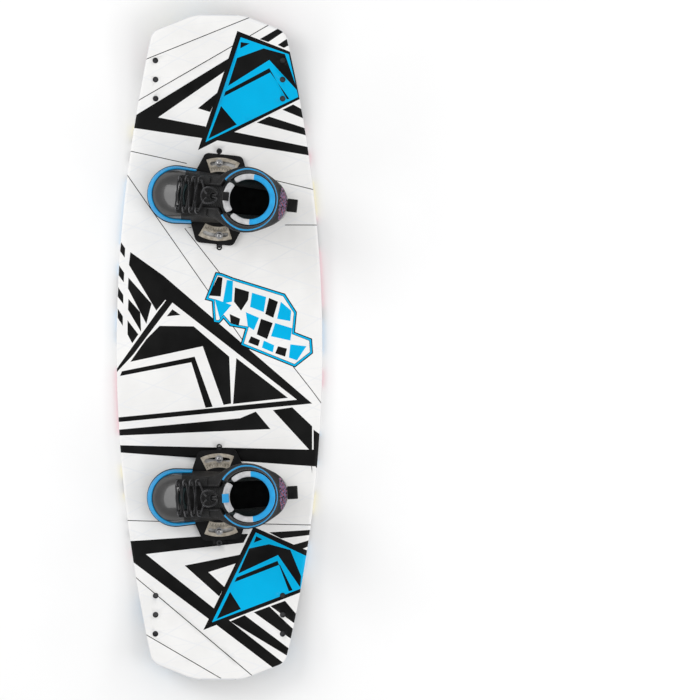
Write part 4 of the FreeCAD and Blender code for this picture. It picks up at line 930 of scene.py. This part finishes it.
# %% Deck and base sheets
hairline_shapes = [("black", stroke(line, 1.7)) for line in HAIRLINES]
patch_line = np.array(PATCH_OUTLINE, float)
turned = patch_line * np.roll(patch_line, -1, axis=0)[:, ::-1] @ (1, -1)
if turned.sum() < 0:
    patch_line = patch_line[::-1]
patch_border = []
for ink, inset in (("black", 0), ("blue", 2.2), ("black", 5.6), ("white", 6.6)):
    patch_border.append((ink, shrink(patch_line, inset)))
deck_shapes = hairline_shapes + DECK_ART + patch_border + PATCH_BLOCKS
deck_bends = [side * (DECK_BEND + step) for side in (-1, 1) for step in (-0.008, -0.004, 0, 0.004, 0.008)]
deck = sheet_mesh("deck", deck_shapes, deck_top, deck_holes, deck_bends)
base_bends = [side * (x + step) for side in (-1, 1) for x in (0.133, 0.173) for step in (-0.002, 0, 0.002)]
base_bends += [side * (BASE_BEND + step) for side in (-1, 1) for step in (-0.006, 0, 0.006)]
base_bends += [side * 0.038 + step for side in (-1, 1) for step in (-0.002, 0, 0.002)]
base = sheet_mesh("base", BASE_ART, base_bottom, [], base_bends)
away_from(deck, (0, 0, -5))
away_from(base, (0, 0, 5))
for sheet, label, slot in ((deck, "deck_sheet", "deck_gloss"), (base, "base_sheet", "base_gloss")):
    smooth(sheet, 60)
    wall = sheet.modifiers.new("wall", "SOLIDIFY")
    wall.thickness, wall.offset, wall.use_rim = 0.002, -1, True
    settle(sheet, "board", slot, label)

# %% [markdown]
# The rail between the two sheets is the edge of the foam core, sealed with pale resin. It is a closed
# band around the outline: each row of the table is the outline at another inset and height.

# %% Rail
rail_ink = printed("rail_resin", (0.62, 0.63, 0.65), (0.7, 0.71, 0.73))


def rail_band():
    """A closed band around the outline, from the base's edge to the deck's, with a wall inside."""
    x, y = OUTLINE[:, 0], OUTLINE[:, 1]
    low, high = base_height(x, y) + RAIL_ROUND, deck_height(x, y) - RAIL_ROUND
    rows = []
    profile = ((-0.15, 0.0012), (0, 0.0), (0.5, -0.0004), (1, 0.0), (1.15, 0.0012), (1, 0.004), (0, 0.004))
    for share, inset in profile:
        ring = shrink(OUTLINE, inset)
        rows.append(np.column_stack([ring, low + (high - low) * share]))
    return np.stack(rows)


band = rail_band()
rail = make("rail", band, grid_faces(band.shape[0], band.shape[1], wrap_u=True, wrap_v=True), rail_ink)
settle(smooth(point_out(rail), 60), "board", "foam", "foam_core")

# %% [markdown]
# ## The boots' surface
# A boot's outside is a stack of outlines. Each one is two circles, one at the toe and one at the heel,
# with straight tangents between them. Heights between the levels come from smooth curves through the
# levels' numbers. A point on the surface is named by its height z and by q, the signed share of the way
# from the heel (0) round to the toe (1 on the positive side, -1 on the negative side).

# %% Levels of the boot
LEVELS = np.array([
    # height, toe x, toe radius, heel x, heel radius, all in millimetres
    (18, -147, 57, 143, 42), (42, -145, 55, 147, 44), (68, -121, 48, 147, 43), (92, -79, 43, 145, 46),
    (122, -35, 47, 145, 54), (152, -10, 68, 130, 68), (194, 12, 55, 124, 55), (226, 11, 57, 127, 57),
]) / 1000
SLOPES = np.gradient(LEVELS[:, 1:], LEVELS[:, 0], axis=0)


def level_at(z):
    """Toe x, toe radius, heel x and heel radius at heights z, by a cubic curve between two levels.

    With s from 0 to 1 over a step of height h: value = (2s^3-3s^2+1) a + (s^3-2s^2+s) h a' +
    (3s^2-2s^3) b + (s^3-s^2) h b'."""
    z = np.atleast_1d(np.asarray(z, float))
    i = np.clip(np.searchsorted(LEVELS[:, 0], z) - 1, 0, len(LEVELS) - 2)
    step = LEVELS[i + 1, 0] - LEVELS[i, 0]
    s = np.clip((z - LEVELS[i, 0]) / step, 0, 1)[:, None]
    h = step[:, None]
    a, b = LEVELS[i, 1:], LEVELS[i + 1, 1:]
    return ((2 * s**3 - 3 * s**2 + 1) * a + (s**3 - 2 * s**2 + s) * h * SLOPES[i]
            + (3 * s**2 - 2 * s**3) * b + (s**3 - s**2) * h * SLOPES[i + 1])


def outline_at(z, q, inset=0.0):
    """Points of the surface, moved inwards by an inset: arrays z and q of one shape give x, y, z.

    From the heel the outline runs an arc of radius r2, a tangent and an arc of radius r1. The tangent
    leaves both circles at the same angle t, where cos t = (r2 - r1) / D and D is between the centres."""
    z, q = np.broadcast_arrays(np.asarray(z, float), np.asarray(q, float))
    shape = z.shape
    toe, toe_r, heel, heel_r = level_at(z.ravel()).T
    toe_c, heel_c = toe + toe_r, heel - heel_r
    r1, r2 = toe_r - inset, heel_r - inset
    gap = heel_c - toe_c
    t = np.arccos(np.clip((r2 - r1) / gap, -1, 1))
    heel_arc, toe_arc = (math.pi - t) * r2, t * r1
    line = gap * np.sin(t)
    total = heel_arc + line + toe_arc
    way = np.abs(q.ravel()) * total
    on_heel = np.minimum(way, heel_arc) / r2
    on_line = np.clip(way - heel_arc, 0, line) / line
    on_toe = math.pi - (total - np.maximum(way, heel_arc + line)) / r1
    start_x, start_y = heel_c - r2 * np.cos(t), r2 * np.sin(t)
    end_x, end_y = toe_c - r1 * np.cos(t), r1 * np.sin(t)
    x = np.where(way < heel_arc, heel_c + r2 * np.cos(on_heel),
                 np.where(way < heel_arc + line, start_x + (end_x - start_x) * on_line,
                          toe_c + r1 * np.cos(on_toe)))
    y = np.where(way < heel_arc, r2 * np.sin(on_heel),
                 np.where(way < heel_arc + line, start_y + (end_y - start_y) * on_line, r1 * np.sin(on_toe)))
    side = np.where(q.ravel() < 0, -1, 1)
    return np.stack([x, y * side, z.ravel()], axis=1).reshape(*shape, 3)


FINE = np.linspace(0, 1, 241)


def share_at_x(z, x, inset=0.0):
    """The share q where the outline at height z passes x; x falls steadily from the heel to the toe."""
    points = outline_at(np.full(FINE.shape, z), FINE, inset)
    return float(np.interp(-x, -points[:, 0], FINE))


def share_at_y(z, y, inset=0.0):
    """The share q near the toe where the outline at height z is y from the middle."""
    points = outline_at(np.full(FINE.shape, z), FINE, inset)
    front = FINE > 0.6
    return float(np.interp(-y, -points[front, 1], FINE[front]))


def spread(start, end, count):
    """Rows of shares: one row for each pair of ends."""
    return np.linspace(np.asarray(start), np.asarray(end), count, axis=1)


# %% [markdown]
# ## The boots' shell
# The shell is sewn from panels of leather: a toe cap, quarters, a heel panel and a cuff. Each is a patch
# of the surface between two heights and two shares, which may change with the height. A wall modifier
# gives it its thickness inwards and a bevel rounds its cut edges. The tongue's fold says how each boot
# is turned on its plate.

# %% Where the boots stand
TURNS = {}
for side in ("front", "rear"):
    axis = JOINTS[f"{side}_tongue_fold"]["axis"]
    TURNS[side] = math.atan2(axis[0], -axis[1])
PLATE_TOP = 0.0323
STANDS = {side: Matrix.Translation((0, JOINTS[f"{side}_binding_turn"]["pos_m"][1], PLATE_TOP))
          @ Matrix.Rotation(TURNS[side], 4, "Z") for side in TURNS}
print("boots turned by", {side: round(math.degrees(turn), 1) for side, turn in TURNS.items()})


# %% Panels of the shell
BOOT_MIDDLE = (0.02, 0, 0.1)
local_pieces = []
heel_print = (plain_of("violet_print", (0.05, 0.05, 0.12), (0.10, 0.08, 0.2), (0.4, 0.55)),
              plain_of("rose_print", (0.16, 0.02, 0.06), (0.30, 0.05, 0.10), (0.4, 0.55)))


def panel(name, heights, shares, wall, inset, material, label, edge=0.0007):
    """A panel of a boot: a table of shares for each height, lifted to the surface and given its wall."""
    z = np.repeat(np.asarray(heights, float)[:, None], shares.shape[1], axis=1)
    points = outline_at(z, shares, inset)
    made = make(name, points, grid_faces(*shares.shape), material)
    away_from(made, BOOT_MIDDLE)
    smooth(made, 50)
    thicken(made, wall, edge)
    local_pieces.append((made, label, "boot"))
    return made


def rows(low, high, count):
    return np.linspace(low, high, count) / 1000


TOE_EDGE, HEEL_EDGE, THROAT, CUFF_GAP = -0.073, 0.099, 0.023, 0.036
heights = rows(18, 90, 16)
cap_ends = [share_at_x(z, TOE_EDGE) for z in heights]
panel("toe_cap", heights, np.array([np.concatenate([np.linspace(e, 1, 20), np.linspace(-1, -e, 20)[1:]])
                                    for e in cap_ends]), 0.004, 0, patent, "toe_cap")


def throat_share(z):
    """Where the quarters end in front: at the toe cap low down, and at the throat above it."""
    return share_at_x(z, TOE_EDGE) if z < 0.090 else share_at_y(z, THROAT)


low_rows = rows(18, 118, 22)
fronts, backs = [throat_share(z) for z in low_rows], [share_at_x(z, HEEL_EDGE) for z in low_rows]
high_rows = rows(118, 169.5, 12)
high_ends = [throat_share(z) for z in high_rows]
for sign in (1, -1):
    panel("quarter_low", low_rows, sign * spread(backs, fronts, 30), 0.004, 0, leather, "quarters")
fine_rows = rows(118, 169.5, 24)
fine_ends = np.interp(fine_rows, high_rows, high_ends)
upper = panel("quarter_high", fine_rows, spread(-fine_ends, fine_ends, 160), 0.004, 0, leather, "quarters")

# %% [markdown]
# The back of the heel carries a printed crescent of small violet and rose shards. It bends upwards at its
# ends, so its height share grows with the square of y, and two crossed waves decide each face's ink.

# %% Printed crescent on the heels
for ink in heel_print:
    upper.data.materials.append(ink)
x, y, z = of_faces(upper, "center").T
bent = (z - 0.121) / 0.040 + (y / 0.034) ** 2 * 0.5
crescent = (x > 0.08) & (np.abs(y) < 0.034) & (bent > 0.02) & (bent < 0.75)
shards = np.sin(y * 260 + z * 900) + np.sin(y * 610 - z * 500)
prints = np.where(shards > 0.2, 1, np.where(shards < -0.7, 2, 0)) * crescent
upper.data.polygons.foreach_set("material_index", prints.astype(np.int32))
print(int((prints > 0).sum()), "printed faces")

# %% Heel panel, cuff and rand
panel("heel_panel", low_rows, spread([-b for b in backs], backs, 40), 0.0046, -0.0006, patent, "heel_panel")
cuff_rows = rows(174.5, 194, 8)
cuff_ends = [share_at_y(z, CUFF_GAP) for z in cuff_rows]
panel("cuff", cuff_rows, spread([-e for e in cuff_ends], cuff_ends, 90), 0.004, 0, canvas, "cuff")
rand_rows = rows(12, 52, 12)
rand_ends = [share_at_x(z, -0.051) for z in rand_rows]
panel("toe_rand", rand_rows, np.array([np.concatenate([np.linspace(e, 1, 34), np.linspace(-1, -e, 34)[1:]])
                                       for e in rand_ends]), 0.003, -0.003, blue_rubber, "toe_rand")

lip_rows = rows(12, 19, 3)
lip_ends = [share_at_x(z, -0.045) for z in lip_rows]
panel("rand_lip", lip_rows, np.array([np.concatenate([np.linspace(e, 1, 34), np.linspace(-1, -e, 34)[1:]])
                                      for e in lip_ends]), 0.0018, -0.0048, rubber, "toe_rand")

# %% [markdown]
# Inside the shell is a foam liner, and the tongue closes the throat under the laces. The tongue is ribbed
# across, which lets it bend: its inset follows a squared sine of the height.

# %% Liner and tongue
LINING_INSET = 0.0076
low_lining = rows(23.5, 92, 12)
full_turn = np.tile(np.linspace(-1, 1, 100), (12, 1))
panel("liner_low", low_lining, full_turn, 0.008, LINING_INSET, lining, "liner")
high_lining = rows(92, 193.5, 22)
lining_ends = [share_at_y(z, 0.0356, LINING_INSET) for z in high_lining]
panel("liner_high", high_lining, spread([-e for e in lining_ends], lining_ends, 90), 0.008, LINING_INSET,
      lining, "liner")
tongue_rows = rows(93, 176.5, 40)
tongue_ends = [share_at_y(z, 0.031, LINING_INSET) for z in tongue_rows]
tongue_shares = np.array([np.concatenate([np.linspace(e, 1, 16), np.linspace(-1, -e, 16)[1:]])
                          for e in tongue_ends])
ribs = 0.0012 * (np.sin(tongue_rows * 2 * math.pi / 0.012) ** 2)
tongue_z = np.repeat(tongue_rows[:, None], tongue_shares.shape[1], axis=1)
tongue_points = np.stack([outline_at(tongue_z[i], tongue_shares[i], LINING_INSET + ribs[i])
                          for i in range(len(ribs))])
tongue = make("tongue", tongue_points, grid_faces(*tongue_shares.shape), canvas)
away_from(tongue, BOOT_MIDDLE)
thicken(smooth(tongue, 50), 0.007, 0.001)
local_pieces.append((tongue, "tongue", "boot"))


# %% [markdown]
# A piping bead, a strap and a screw are all profiles carried along a path. The bead's path is the boot's
# own outline; a strap's is a bent line; a lathe's is a circle.

# %% Piping, straps and turned pieces
def ring_piece(name, shares, z, inset, half_height, half_depth, material, label):
    """A closed bead along the outline: z + a cos t and inset - b sin t, for t around the profile."""
    t = np.linspace(0, 2 * math.pi, 16, endpoint=False)[None, :]
    q = np.asarray(shares)[:, None] + 0 * t
    flat_z = z + half_height * np.cos(t) + 0 * q
    depth = inset - half_depth * np.sin(t) + 0 * q
    points = np.stack([outline_at(flat_z[:, i], q[:, i], float(depth[0, i])) for i in range(t.size)], axis=1)
    made = make(name, points, solid_faces(*points.shape[:2]), material)
    smooth(point_out(made), 50)
    local_pieces.append((made, label, "boot"))
    return made


def strap(name, path, width, wall, material, label, body):
    """A flat band: a rectangle of a width (along Y) and a wall, carried along a path in the XZ plane."""
    line = np.array(path, float) / 1000
    steps = np.linspace(0, len(line) - 1, 8 * len(line))
    line = np.stack([np.interp(steps, np.arange(len(line)), line[:, k]) for k in (0, 1)], axis=1)
    for _ in range(3):
        line[1:-1] = (line[:-2] + line[1:-1] * 2 + line[2:]) / 4
    way = np.gradient(line, axis=0)
    way = way / np.linalg.norm(way, axis=1)[:, None]
    aside = np.stack([-way[:, 1], way[:, 0]], axis=1)
    section = [(-1, -0.8), (-0.96, -1), (0.96, -1), (1, -0.8), (1, 0.8), (0.96, 1), (-0.96, 1), (-1, 0.8)]
    points = []
    for across, out in section:
        flat = line + aside * out * wall / 2
        points.append(np.column_stack([flat[:, 0], np.full(len(flat), across * width / 2), flat[:, 1]]))
    points = np.stack(points, axis=1)
    made = make(name, points, solid_faces(*points.shape[:2]), material)
    smooth(point_out(made), 40)
    local_pieces.append((made, label, body))
    return made


def lathe(name, profile, count=40):
    """A closed profile of (radius, height) turned about Z: x = r cos t, y = r sin t, z = h."""
    profile = np.array(profile, float)
    t = np.linspace(0, 2 * math.pi, count, endpoint=False)
    r, h = profile[:, 0][:, None], profile[:, 1][:, None]
    points = np.stack([r * np.cos(t), r * np.sin(t), h + 0 * t], axis=-1)
    closed = profile[0, 0] > 1e-6
    faces = grid_faces(len(profile), count, wrap_u=closed, wrap_v=True)
    return make(name, points, faces, [])


ring_piece("cuff_piping", np.linspace(-cuff_ends[0], cuff_ends[0], 110), 0.172, 0.0012, 0.0025, 0.0026,
           piping_blue, "cuff_piping")
strap("heel_loop", [(146, 63.5), (158, 63.5), (165, 66), (165.5, 72), (165.5, 98), (165, 104), (158, 106.5),
                    (146, 106.5)], 0.026, 0.003, webbing, "heel_loop", "boot")
strap("tongue_pull_loop", [(14.2, 212), (14.2, 228), (16, 230.8), (20, 231), (24, 230.8), (25.6, 228),
                           (25.6, 212)], 0.018, 0.0024, piping_blue, "tongue_pull_loop", "flap")

# %% [markdown]
# ## Laces
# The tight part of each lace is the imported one. Its free loop hangs over the tongue between its two
# ends, which come out of a barrel lock that squeezes them.

# %% Lock and free loops
TAIL_START = Vector((-24.688, 0, 146.391)) / 1000
TAIL_WAY = Vector((0.66913, 0, 0.74314))
TAIL_OUT = Vector((-0.74314, 0, 0.66913))
TAIL_END = TAIL_START + TAIL_WAY * 0.031
LOOP_ROUTE = [
    (0.2, 2.2, 0), (9, 3.4, 1.5), (16, 8.5, 7), (15, 14.5, 16), (5, 17, 21.5), (-6, 16, 21.5),
    (-16, 11.5, 19.5), (-22, 4, 18), (-22, -4, 18), (-16, -11.5, 19.5), (-6, -16, 21.5), (5, -17, 21.5),
    (15, -14.5, 16), (16, -8.5, 7), (9, -3.4, 1.5), (0.2, -2.2, 0),
]
for side in STANDS:
    curve = bpy.data.curves.new(f"{side}_lace_loop", "CURVE")
    curve.dimensions = "3D"
    spline = curve.splines.new("NURBS")
    spline.points.add(len(LOOP_ROUTE) - 1)
    for point, (up, across, out) in zip(spline.points, LOOP_ROUTE):
        place = TAIL_END + (TAIL_WAY * up + Vector((0, across, 0)) + TAIL_OUT * out) / 1000
        point.co = (*(STANDS[side] @ place), 1)
    spline.order_u = 3
    spline.use_endpoint_u = True
    spline.resolution_u = 8
    curve.bevel_depth, curve.bevel_resolution, curve.use_fill_caps = 0.0017, 4, True
    curve.materials.append(cord_weave)
    loop = bpy.data.objects.new(f"{side}_lace_loop_cord", curve)
    bpy.context.scene.collection.objects.link(loop)
    settle(loop, f"{side}_boot", "lace_cord", f"{side}_lace_loop")

grooves = [(0.0070 - 0.0006 * (k % 2), 0.0025 + 0.0011 * k) for k in range(9)]
lock = lathe("lace_lock", [(0.0043, 0.0003), (0.0052, 0), (0.0064, 0), (0.0069, 0.0006), (0.007, 0.0018)]
             + grooves + [(0.007, 0.0128), (0.0066, 0.0138), (0.0054, 0.014), (0.0043, 0.0137)], 32)
lock.data.materials.append(nylon)
turn_to_tail = TAIL_WAY.to_track_quat("Z", "Y").to_matrix().to_4x4()
lock.data.transform(Matrix.Translation(TAIL_START + TAIL_WAY * 0.0105) @ turn_to_tail)
smooth(point_out(lock), 35)
local_pieces.append((lock, "lace_lock", "lock"))
print("laces and lock ready")


# %% [markdown]
# ## Padding
# The collar and the tongue's flap are cloth over firm foam. Each starts a little smaller than its cover,
# as a closed bead with round ends. It is remeshed and then settles in a short cloth simulation with
# pressure inside. The foam is firm, so the cover moves by only some tenths of a millimetre.

# %% Padded collar and flap
SWELL_LIMIT = 0.0035
CLOTH_FRAMES = 12


def cushion(name, shares, low, high, inner, outer, pressure):
    """A bead of rounded rectangles along the outline, then remeshed and inflated.

    The profile is a superellipse: cos and sin with their sizes raised to the power 0.5."""
    t = np.linspace(0, 2 * math.pi, 28, endpoint=False)
    c, s = np.cos(t), np.sin(t)
    across = np.sign(c) * np.abs(c) ** 0.5
    up = np.sign(s) * np.abs(s) ** 0.5
    middle_z, half_z = (low + high) / 2, (high - low) / 2
    middle_in, half_in = (inner + outer) / 2, (inner - outer) / 2
    q = np.asarray(shares, float)
    ease = np.clip(np.minimum(np.arange(len(q)), np.arange(len(q))[::-1]) / 4, 0, 1)
    ease = 0.55 + 0.45 * np.sqrt(1 - (1 - ease) ** 2)
    columns = []
    for a, u in zip(across, up):
        inset = middle_in + half_in * a
        z = middle_z + half_z * u * ease
        columns.append(outline_at(z, q, inset))
    points = np.stack(columns, axis=1)
    made = make(name, points, solid_faces(*points.shape[:2]), [])
    point_out(made)
    remesh = made.modifiers.new("remesh", "REMESH")
    remesh.mode, remesh.voxel_size = "VOXEL", 0.0035
    bake(made)
    cloth = made.modifiers.new("cloth", "CLOTH")
    cloth.settings.quality = 6
    cloth.settings.use_pressure = True
    cloth.settings.uniform_pressure_force = pressure
    cloth.settings.tension_stiffness = cloth.settings.compression_stiffness = 20
    cloth.settings.bending_stiffness = 0.4
    cloth.settings.effector_weights.gravity = 0
    cloth.point_cache.frame_start, cloth.point_cache.frame_end = 1, CLOTH_FRAMES + 2
    before = np.array([v.co for v in made.data.vertices])
    for frame_number in range(1, CLOTH_FRAMES + 1):
        bpy.context.scene.frame_set(frame_number)
    bake(made)
    moved = np.array([v.co for v in made.data.vertices]) - before
    size = np.linalg.norm(moved, axis=1)[:, None]
    capped = before + moved * np.minimum(1, SWELL_LIMIT / np.maximum(size, 1e-9))
    made.data.vertices.foreach_set("co", capped.ravel())
    bpy.context.scene.frame_set(1)
    print(name, "swelled by up to", round(float(size.max()) * 1000, 1), "mm")
    subdivide = made.modifiers.new("smooth", "SUBSURF")
    subdivide.levels = subdivide.render_levels = 1
    bake(made)
    return smooth(made, 80)


def bake(thing):
    """Replaces a piece's mesh by what its modifiers make of it."""
    seen = thing.evaluated_get(bpy.context.evaluated_depsgraph_get())
    fresh = bpy.data.meshes.new_from_object(seen)
    thing.modifiers.clear()
    thing.data = fresh


collar_end = share_at_y(0.202, CUFF_GAP + 0.002, 0.003)
collar = cushion("collar", np.linspace(-collar_end, collar_end, 100), 0.1955, 0.2085, 0.0140, 0.0020, 2.0)
for material in (blue_knit, grey_knit):
    collar.data.materials.append(material)
GREY_END = 0.074
in_front = of_faces(collar, "center")[:, 0] < GREY_END
collar.data.polygons.foreach_set("material_index", in_front.astype(np.int32))
local_pieces.append((collar, "collar", "boot"))
flap_end = share_at_y(0.198, 0.0315, 0.004)
flap_shares = np.concatenate([np.linspace(flap_end, 1, 24), np.linspace(-1, -flap_end, 24)[1:]])
flap = cushion("tongue_flap", flap_shares, 0.1805, 0.2145, 0.0150, 0.0030, 2.0)
flap.data.materials.append(grey_knit)
local_pieces.append((flap, "tongue_flap", "flap"))

# %% [markdown]
# ## Seams
# A seam is a row of short thread capsules. They lie on the panels' surface, along a line of heights and
# shares, and are one mesh for each seam.


# %% Stitching
def capsule_row(starts, ends, radius):
    """Spindles between pairs of points: six-sided rings of radius r sin(pi s) for s along the stitch."""
    starts, ends = np.asarray(starts), np.asarray(ends)
    way = ends - starts
    length = np.linalg.norm(way, axis=1)[:, None]
    way = way / length
    helper = np.where(np.abs(way[:, 2:3]) < 0.9, np.array([[0, 0, 1.0]]), np.array([[1.0, 0, 0]]))
    first = np.cross(way, helper)
    first = first / np.linalg.norm(first, axis=1)[:, None]
    second = np.cross(way, first)
    t = np.linspace(0, 2 * math.pi, 6, endpoint=False)
    around = first[:, None] * np.cos(t)[:, None] + second[:, None] * np.sin(t)[:, None]
    shares, widths = (0, 0.15, 0.5, 0.85, 1), (0.35, 0.9, 1, 0.9, 0.35)
    rings = [starts[:, None] + (way * length * s)[:, None] + around * radius * w
             for s, w in zip(shares, widths)]
    return np.stack(rings, axis=1)


def along_line(line, along, ways):
    """Points of a line at distances from its start, given its points' own distances."""
    return np.stack([np.interp(ways, along, line[:, k]) for k in range(3)], axis=1)


def seam(name, heights, shares, inset, label, pitch=0.0034):
    """Stitches along a line on the boot, spaced evenly by its length."""
    line = outline_at(np.asarray(heights), np.asarray(shares), inset)
    steps = np.linalg.norm(np.diff(line, axis=0), axis=1)
    along = np.concatenate([[0], np.cumsum(steps)])
    begins = np.arange(pitch / 2, along[-1] - pitch, pitch)
    ends = begins + pitch * 0.68
    rings = capsule_row(along_line(line, along, begins), along_line(line, along, ends), 0.0004)
    single = solid_faces(5, 6)
    faces = [[corner + k * 30 for corner in face] for k in range(len(begins)) for face in single]
    made = make(name, rings, faces, thread)
    smooth(made, 60)
    local_pieces.append((made, label, "boot"))
    return made


# %% Seams of one boot
edge_rows, throat_rows, heel_rows = rows(52, 90, 20), rows(92, 166, 40), rows(24, 116, 36)
for sign in (1, -1):
    for offset in (-0.0025, -0.0050):
        shares = [sign * share_at_x(z, TOE_EDGE + offset) for z in edge_rows]
        seam(f"cap_seam_{sign}_toe_cap", edge_rows, shares, -0.0001, "toe_cap")
    shares = [sign * share_at_y(z, THROAT + 0.003) for z in throat_rows]
    seam("throat_seam", throat_rows, shares, -0.0001, "quarters")
    for offset in (0.003, 0.006):
        shares = [sign * share_at_x(z, HEEL_EDGE + offset) for z in heel_rows]
        seam("heel_seam", heel_rows, shares, -0.0007, "heel_panel")
for height in (0.1772, 0.1915):
    end = share_at_y(height, CUFF_GAP + 0.002)
    q = np.linspace(-end, end, 120)
    seam("cuff_seam", np.full(q.shape, height), q, -0.0001, "cuff")
q = np.linspace(-share_at_y(0.166, 0.026), share_at_y(0.166, 0.026), 120)
seam("quarter_seam", np.full(q.shape, 0.166), q, -0.0001, "quarters")

# %% [markdown]
# ## Both boots
# Every piece so far was made once in the boot's own frame. Each is now copied to both stands, with the
# move put into its points, and joined to the body it belongs to.

# %% Place both boots
for side, stand in STANDS.items():
    for piece, label, body in local_pieces:
        placed = piece.copy()
        placed.data = piece.data.copy()
        placed.data.transform(stand)
        placed.name = f"{side}_{piece.name}_skin"
        bpy.context.scene.collection.objects.link(placed)
        if label == "tongue_pull_loop" and side == "front":
            placed.data.materials[0] = webbing
        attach(placed, f"{side}_{body}")
        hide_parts(f"{side}_{label}")
for piece, *_ in local_pieces:
    bpy.data.objects.remove(piece)


# %% [markdown]
# ## Moulded and metal pieces
# Plates, gauges, soles, stays and fins come out of moulds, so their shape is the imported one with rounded
# edges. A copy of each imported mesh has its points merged, and then a small bevel does the rounding.


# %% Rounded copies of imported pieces
def softened(label, body, slot, material, width=0.0008, segments=2, angle=30):
    """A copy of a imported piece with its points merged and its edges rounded."""
    source = frame["nodes"][label]
    made = bpy.data.objects.new(f"{label}_soft", source.data.copy())
    made.data.transform(source.matrix_world)
    made.data.materials.clear()
    made.data.materials.append(material)
    bpy.context.scene.collection.objects.link(made)
    work = bmesh.new()
    work.from_mesh(made.data)
    bmesh.ops.remove_doubles(work, verts=work.verts, dist=2e-6)
    bmesh.ops.dissolve_limit(work, angle_limit=math.radians(1.5), verts=work.verts, edges=work.edges)
    work.to_mesh(made.data)
    work.free()
    smooth(made, 30)
    round_edges(made, width, segments, angle)
    settle(made, body, slot, label)
    return made


for side in STANDS:
    boot = f"{side}_boot"
    softened(f"{side}_binding_plate", boot, "black_nylon", nylon, 0.0005)
    softened(f"{side}_angle_gauges", boot, "gauge_metal", gauge_metal, 0.0003)
    softened(f"{side}_sole", boot, "black_rubber", rubber, 0.0015)
    softened(f"{side}_lacing_stays", boot, "black_fabric", canvas, 0.0003)
for corner in ("nose_toe", "nose_heel", "tail_toe", "tail_heel"):
    softened(f"{corner}_fin", "board", "black_nylon", fin_nylon, 0.0006)
# The fin screws get the steel that is painted dark as shade for the holes.
softened("fin_screws", "board", "steel", steel_painted_shade, 0.0003)

# %% [markdown]
# A binding bolt has a low domed head with a drive hole, on a plain washer. Both are turned on a lathe:
# the washer's and the bolt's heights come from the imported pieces.

# %% Bolts and washers
for side in STANDS:
    low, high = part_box(f"{side}_bolt_washers")
    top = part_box(f"{side}_binding_bolts")[1].z
    for number, y in enumerate((low.y + 0.008, high.y - 0.008)):
        washer = lathe(f"{side}_washer_{number}", [
            (0.0032, low.z), (0.0076, low.z), (0.008, low.z + 0.0004), (0.008, high.z - 0.0004),
            (0.0076, high.z), (0.0032, high.z)])
        bolt = lathe(f"{side}_bolt_{number}", [
            (1e-7, high.z + 0.0016), (0.0024, high.z + 0.0016), (0.0025, top - 0.0003), (0.0029, top),
            (0.0040, top - 0.0003), (0.0050, top - 0.0011), (0.0055, top - 0.0023), (0.0056, high.z + 0.0004),
            (0.0052, high.z), (0.0029, high.z), (0.0029, 0.0156), (1e-7, 0.0150)])
        for piece, label in ((washer, "bolt_washers"), (bolt, "binding_bolts")):
            piece.data.transform(Matrix.Translation((0, y, 0)))
            piece.data.materials.append(steel)
            smooth(point_out(piece), 35)
            settle(piece, "board", "steel", f"{side}_{label}")

# %% [markdown]
# The gauges have raised tick marks, long and short by turns, every two and a half degrees. Each is a
# thin bar whose four plan corners lie along and beside the ray at its angle.

# %% Tick marks of the angle gauges
tick_angles = np.radians(np.arange(-20, 21, 2.5))
for side, stand in STANDS.items():
    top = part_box(f"{side}_angle_gauges")[1].z - PLATE_TOP
    boxes, faces = [], []
    for end in (0, math.pi):
        for k, angle in enumerate(tick_angles):
            near, far = (0.0615, 0.0685) if k % 2 == 0 else (0.0645, 0.0685)
            out = np.array([math.sin(angle + end), math.cos(angle + end)])
            aside = np.array([out[1], -out[0]]) * 0.0004
            plan = [out * near + aside, out * near - aside, out * far - aside, out * far + aside]
            first = len(boxes)
            boxes += [(*p, top - 0.0002) for p in plan] + [(*p, top + 0.00015) for p in plan]
            faces += [[first + corner for corner in face] for face in (
                (0, 1, 2, 3), (7, 6, 5, 4), (0, 4, 5, 1), (1, 5, 6, 2), (2, 6, 7, 3), (3, 7, 4, 0))]
    ticks = make(f"{side}_gauge_ticks", boxes, faces, rubber)
    ticks.data.transform(stand)
    point_out(ticks)
    settle(ticks, f"{side}_boot", "gauge_metal")

# %% [markdown]
# The inserts, cups, nuts, footbeds, laces and rings are already fine enough in the imported model. They
# keep their shape and only get a finish.

# %% Finishes for imported pieces
# Inserts and cups get steel painted dark, as painted shade for their shadowed holes.
KEPT = {"binding_inserts": steel_painted_shade, "fin_screw_cups": steel_painted_shade, "fin_nuts": brass}
for side in STANDS:
    KEPT |= {f"{side}_footbed": bed_cloth, f"{side}_lace": cord_weave, f"{side}_lace_rings": ring_metal}
for label, material in KEPT.items():
    mesh = frame["nodes"][label].data
    mesh.materials.clear()
    mesh.materials.append(material)
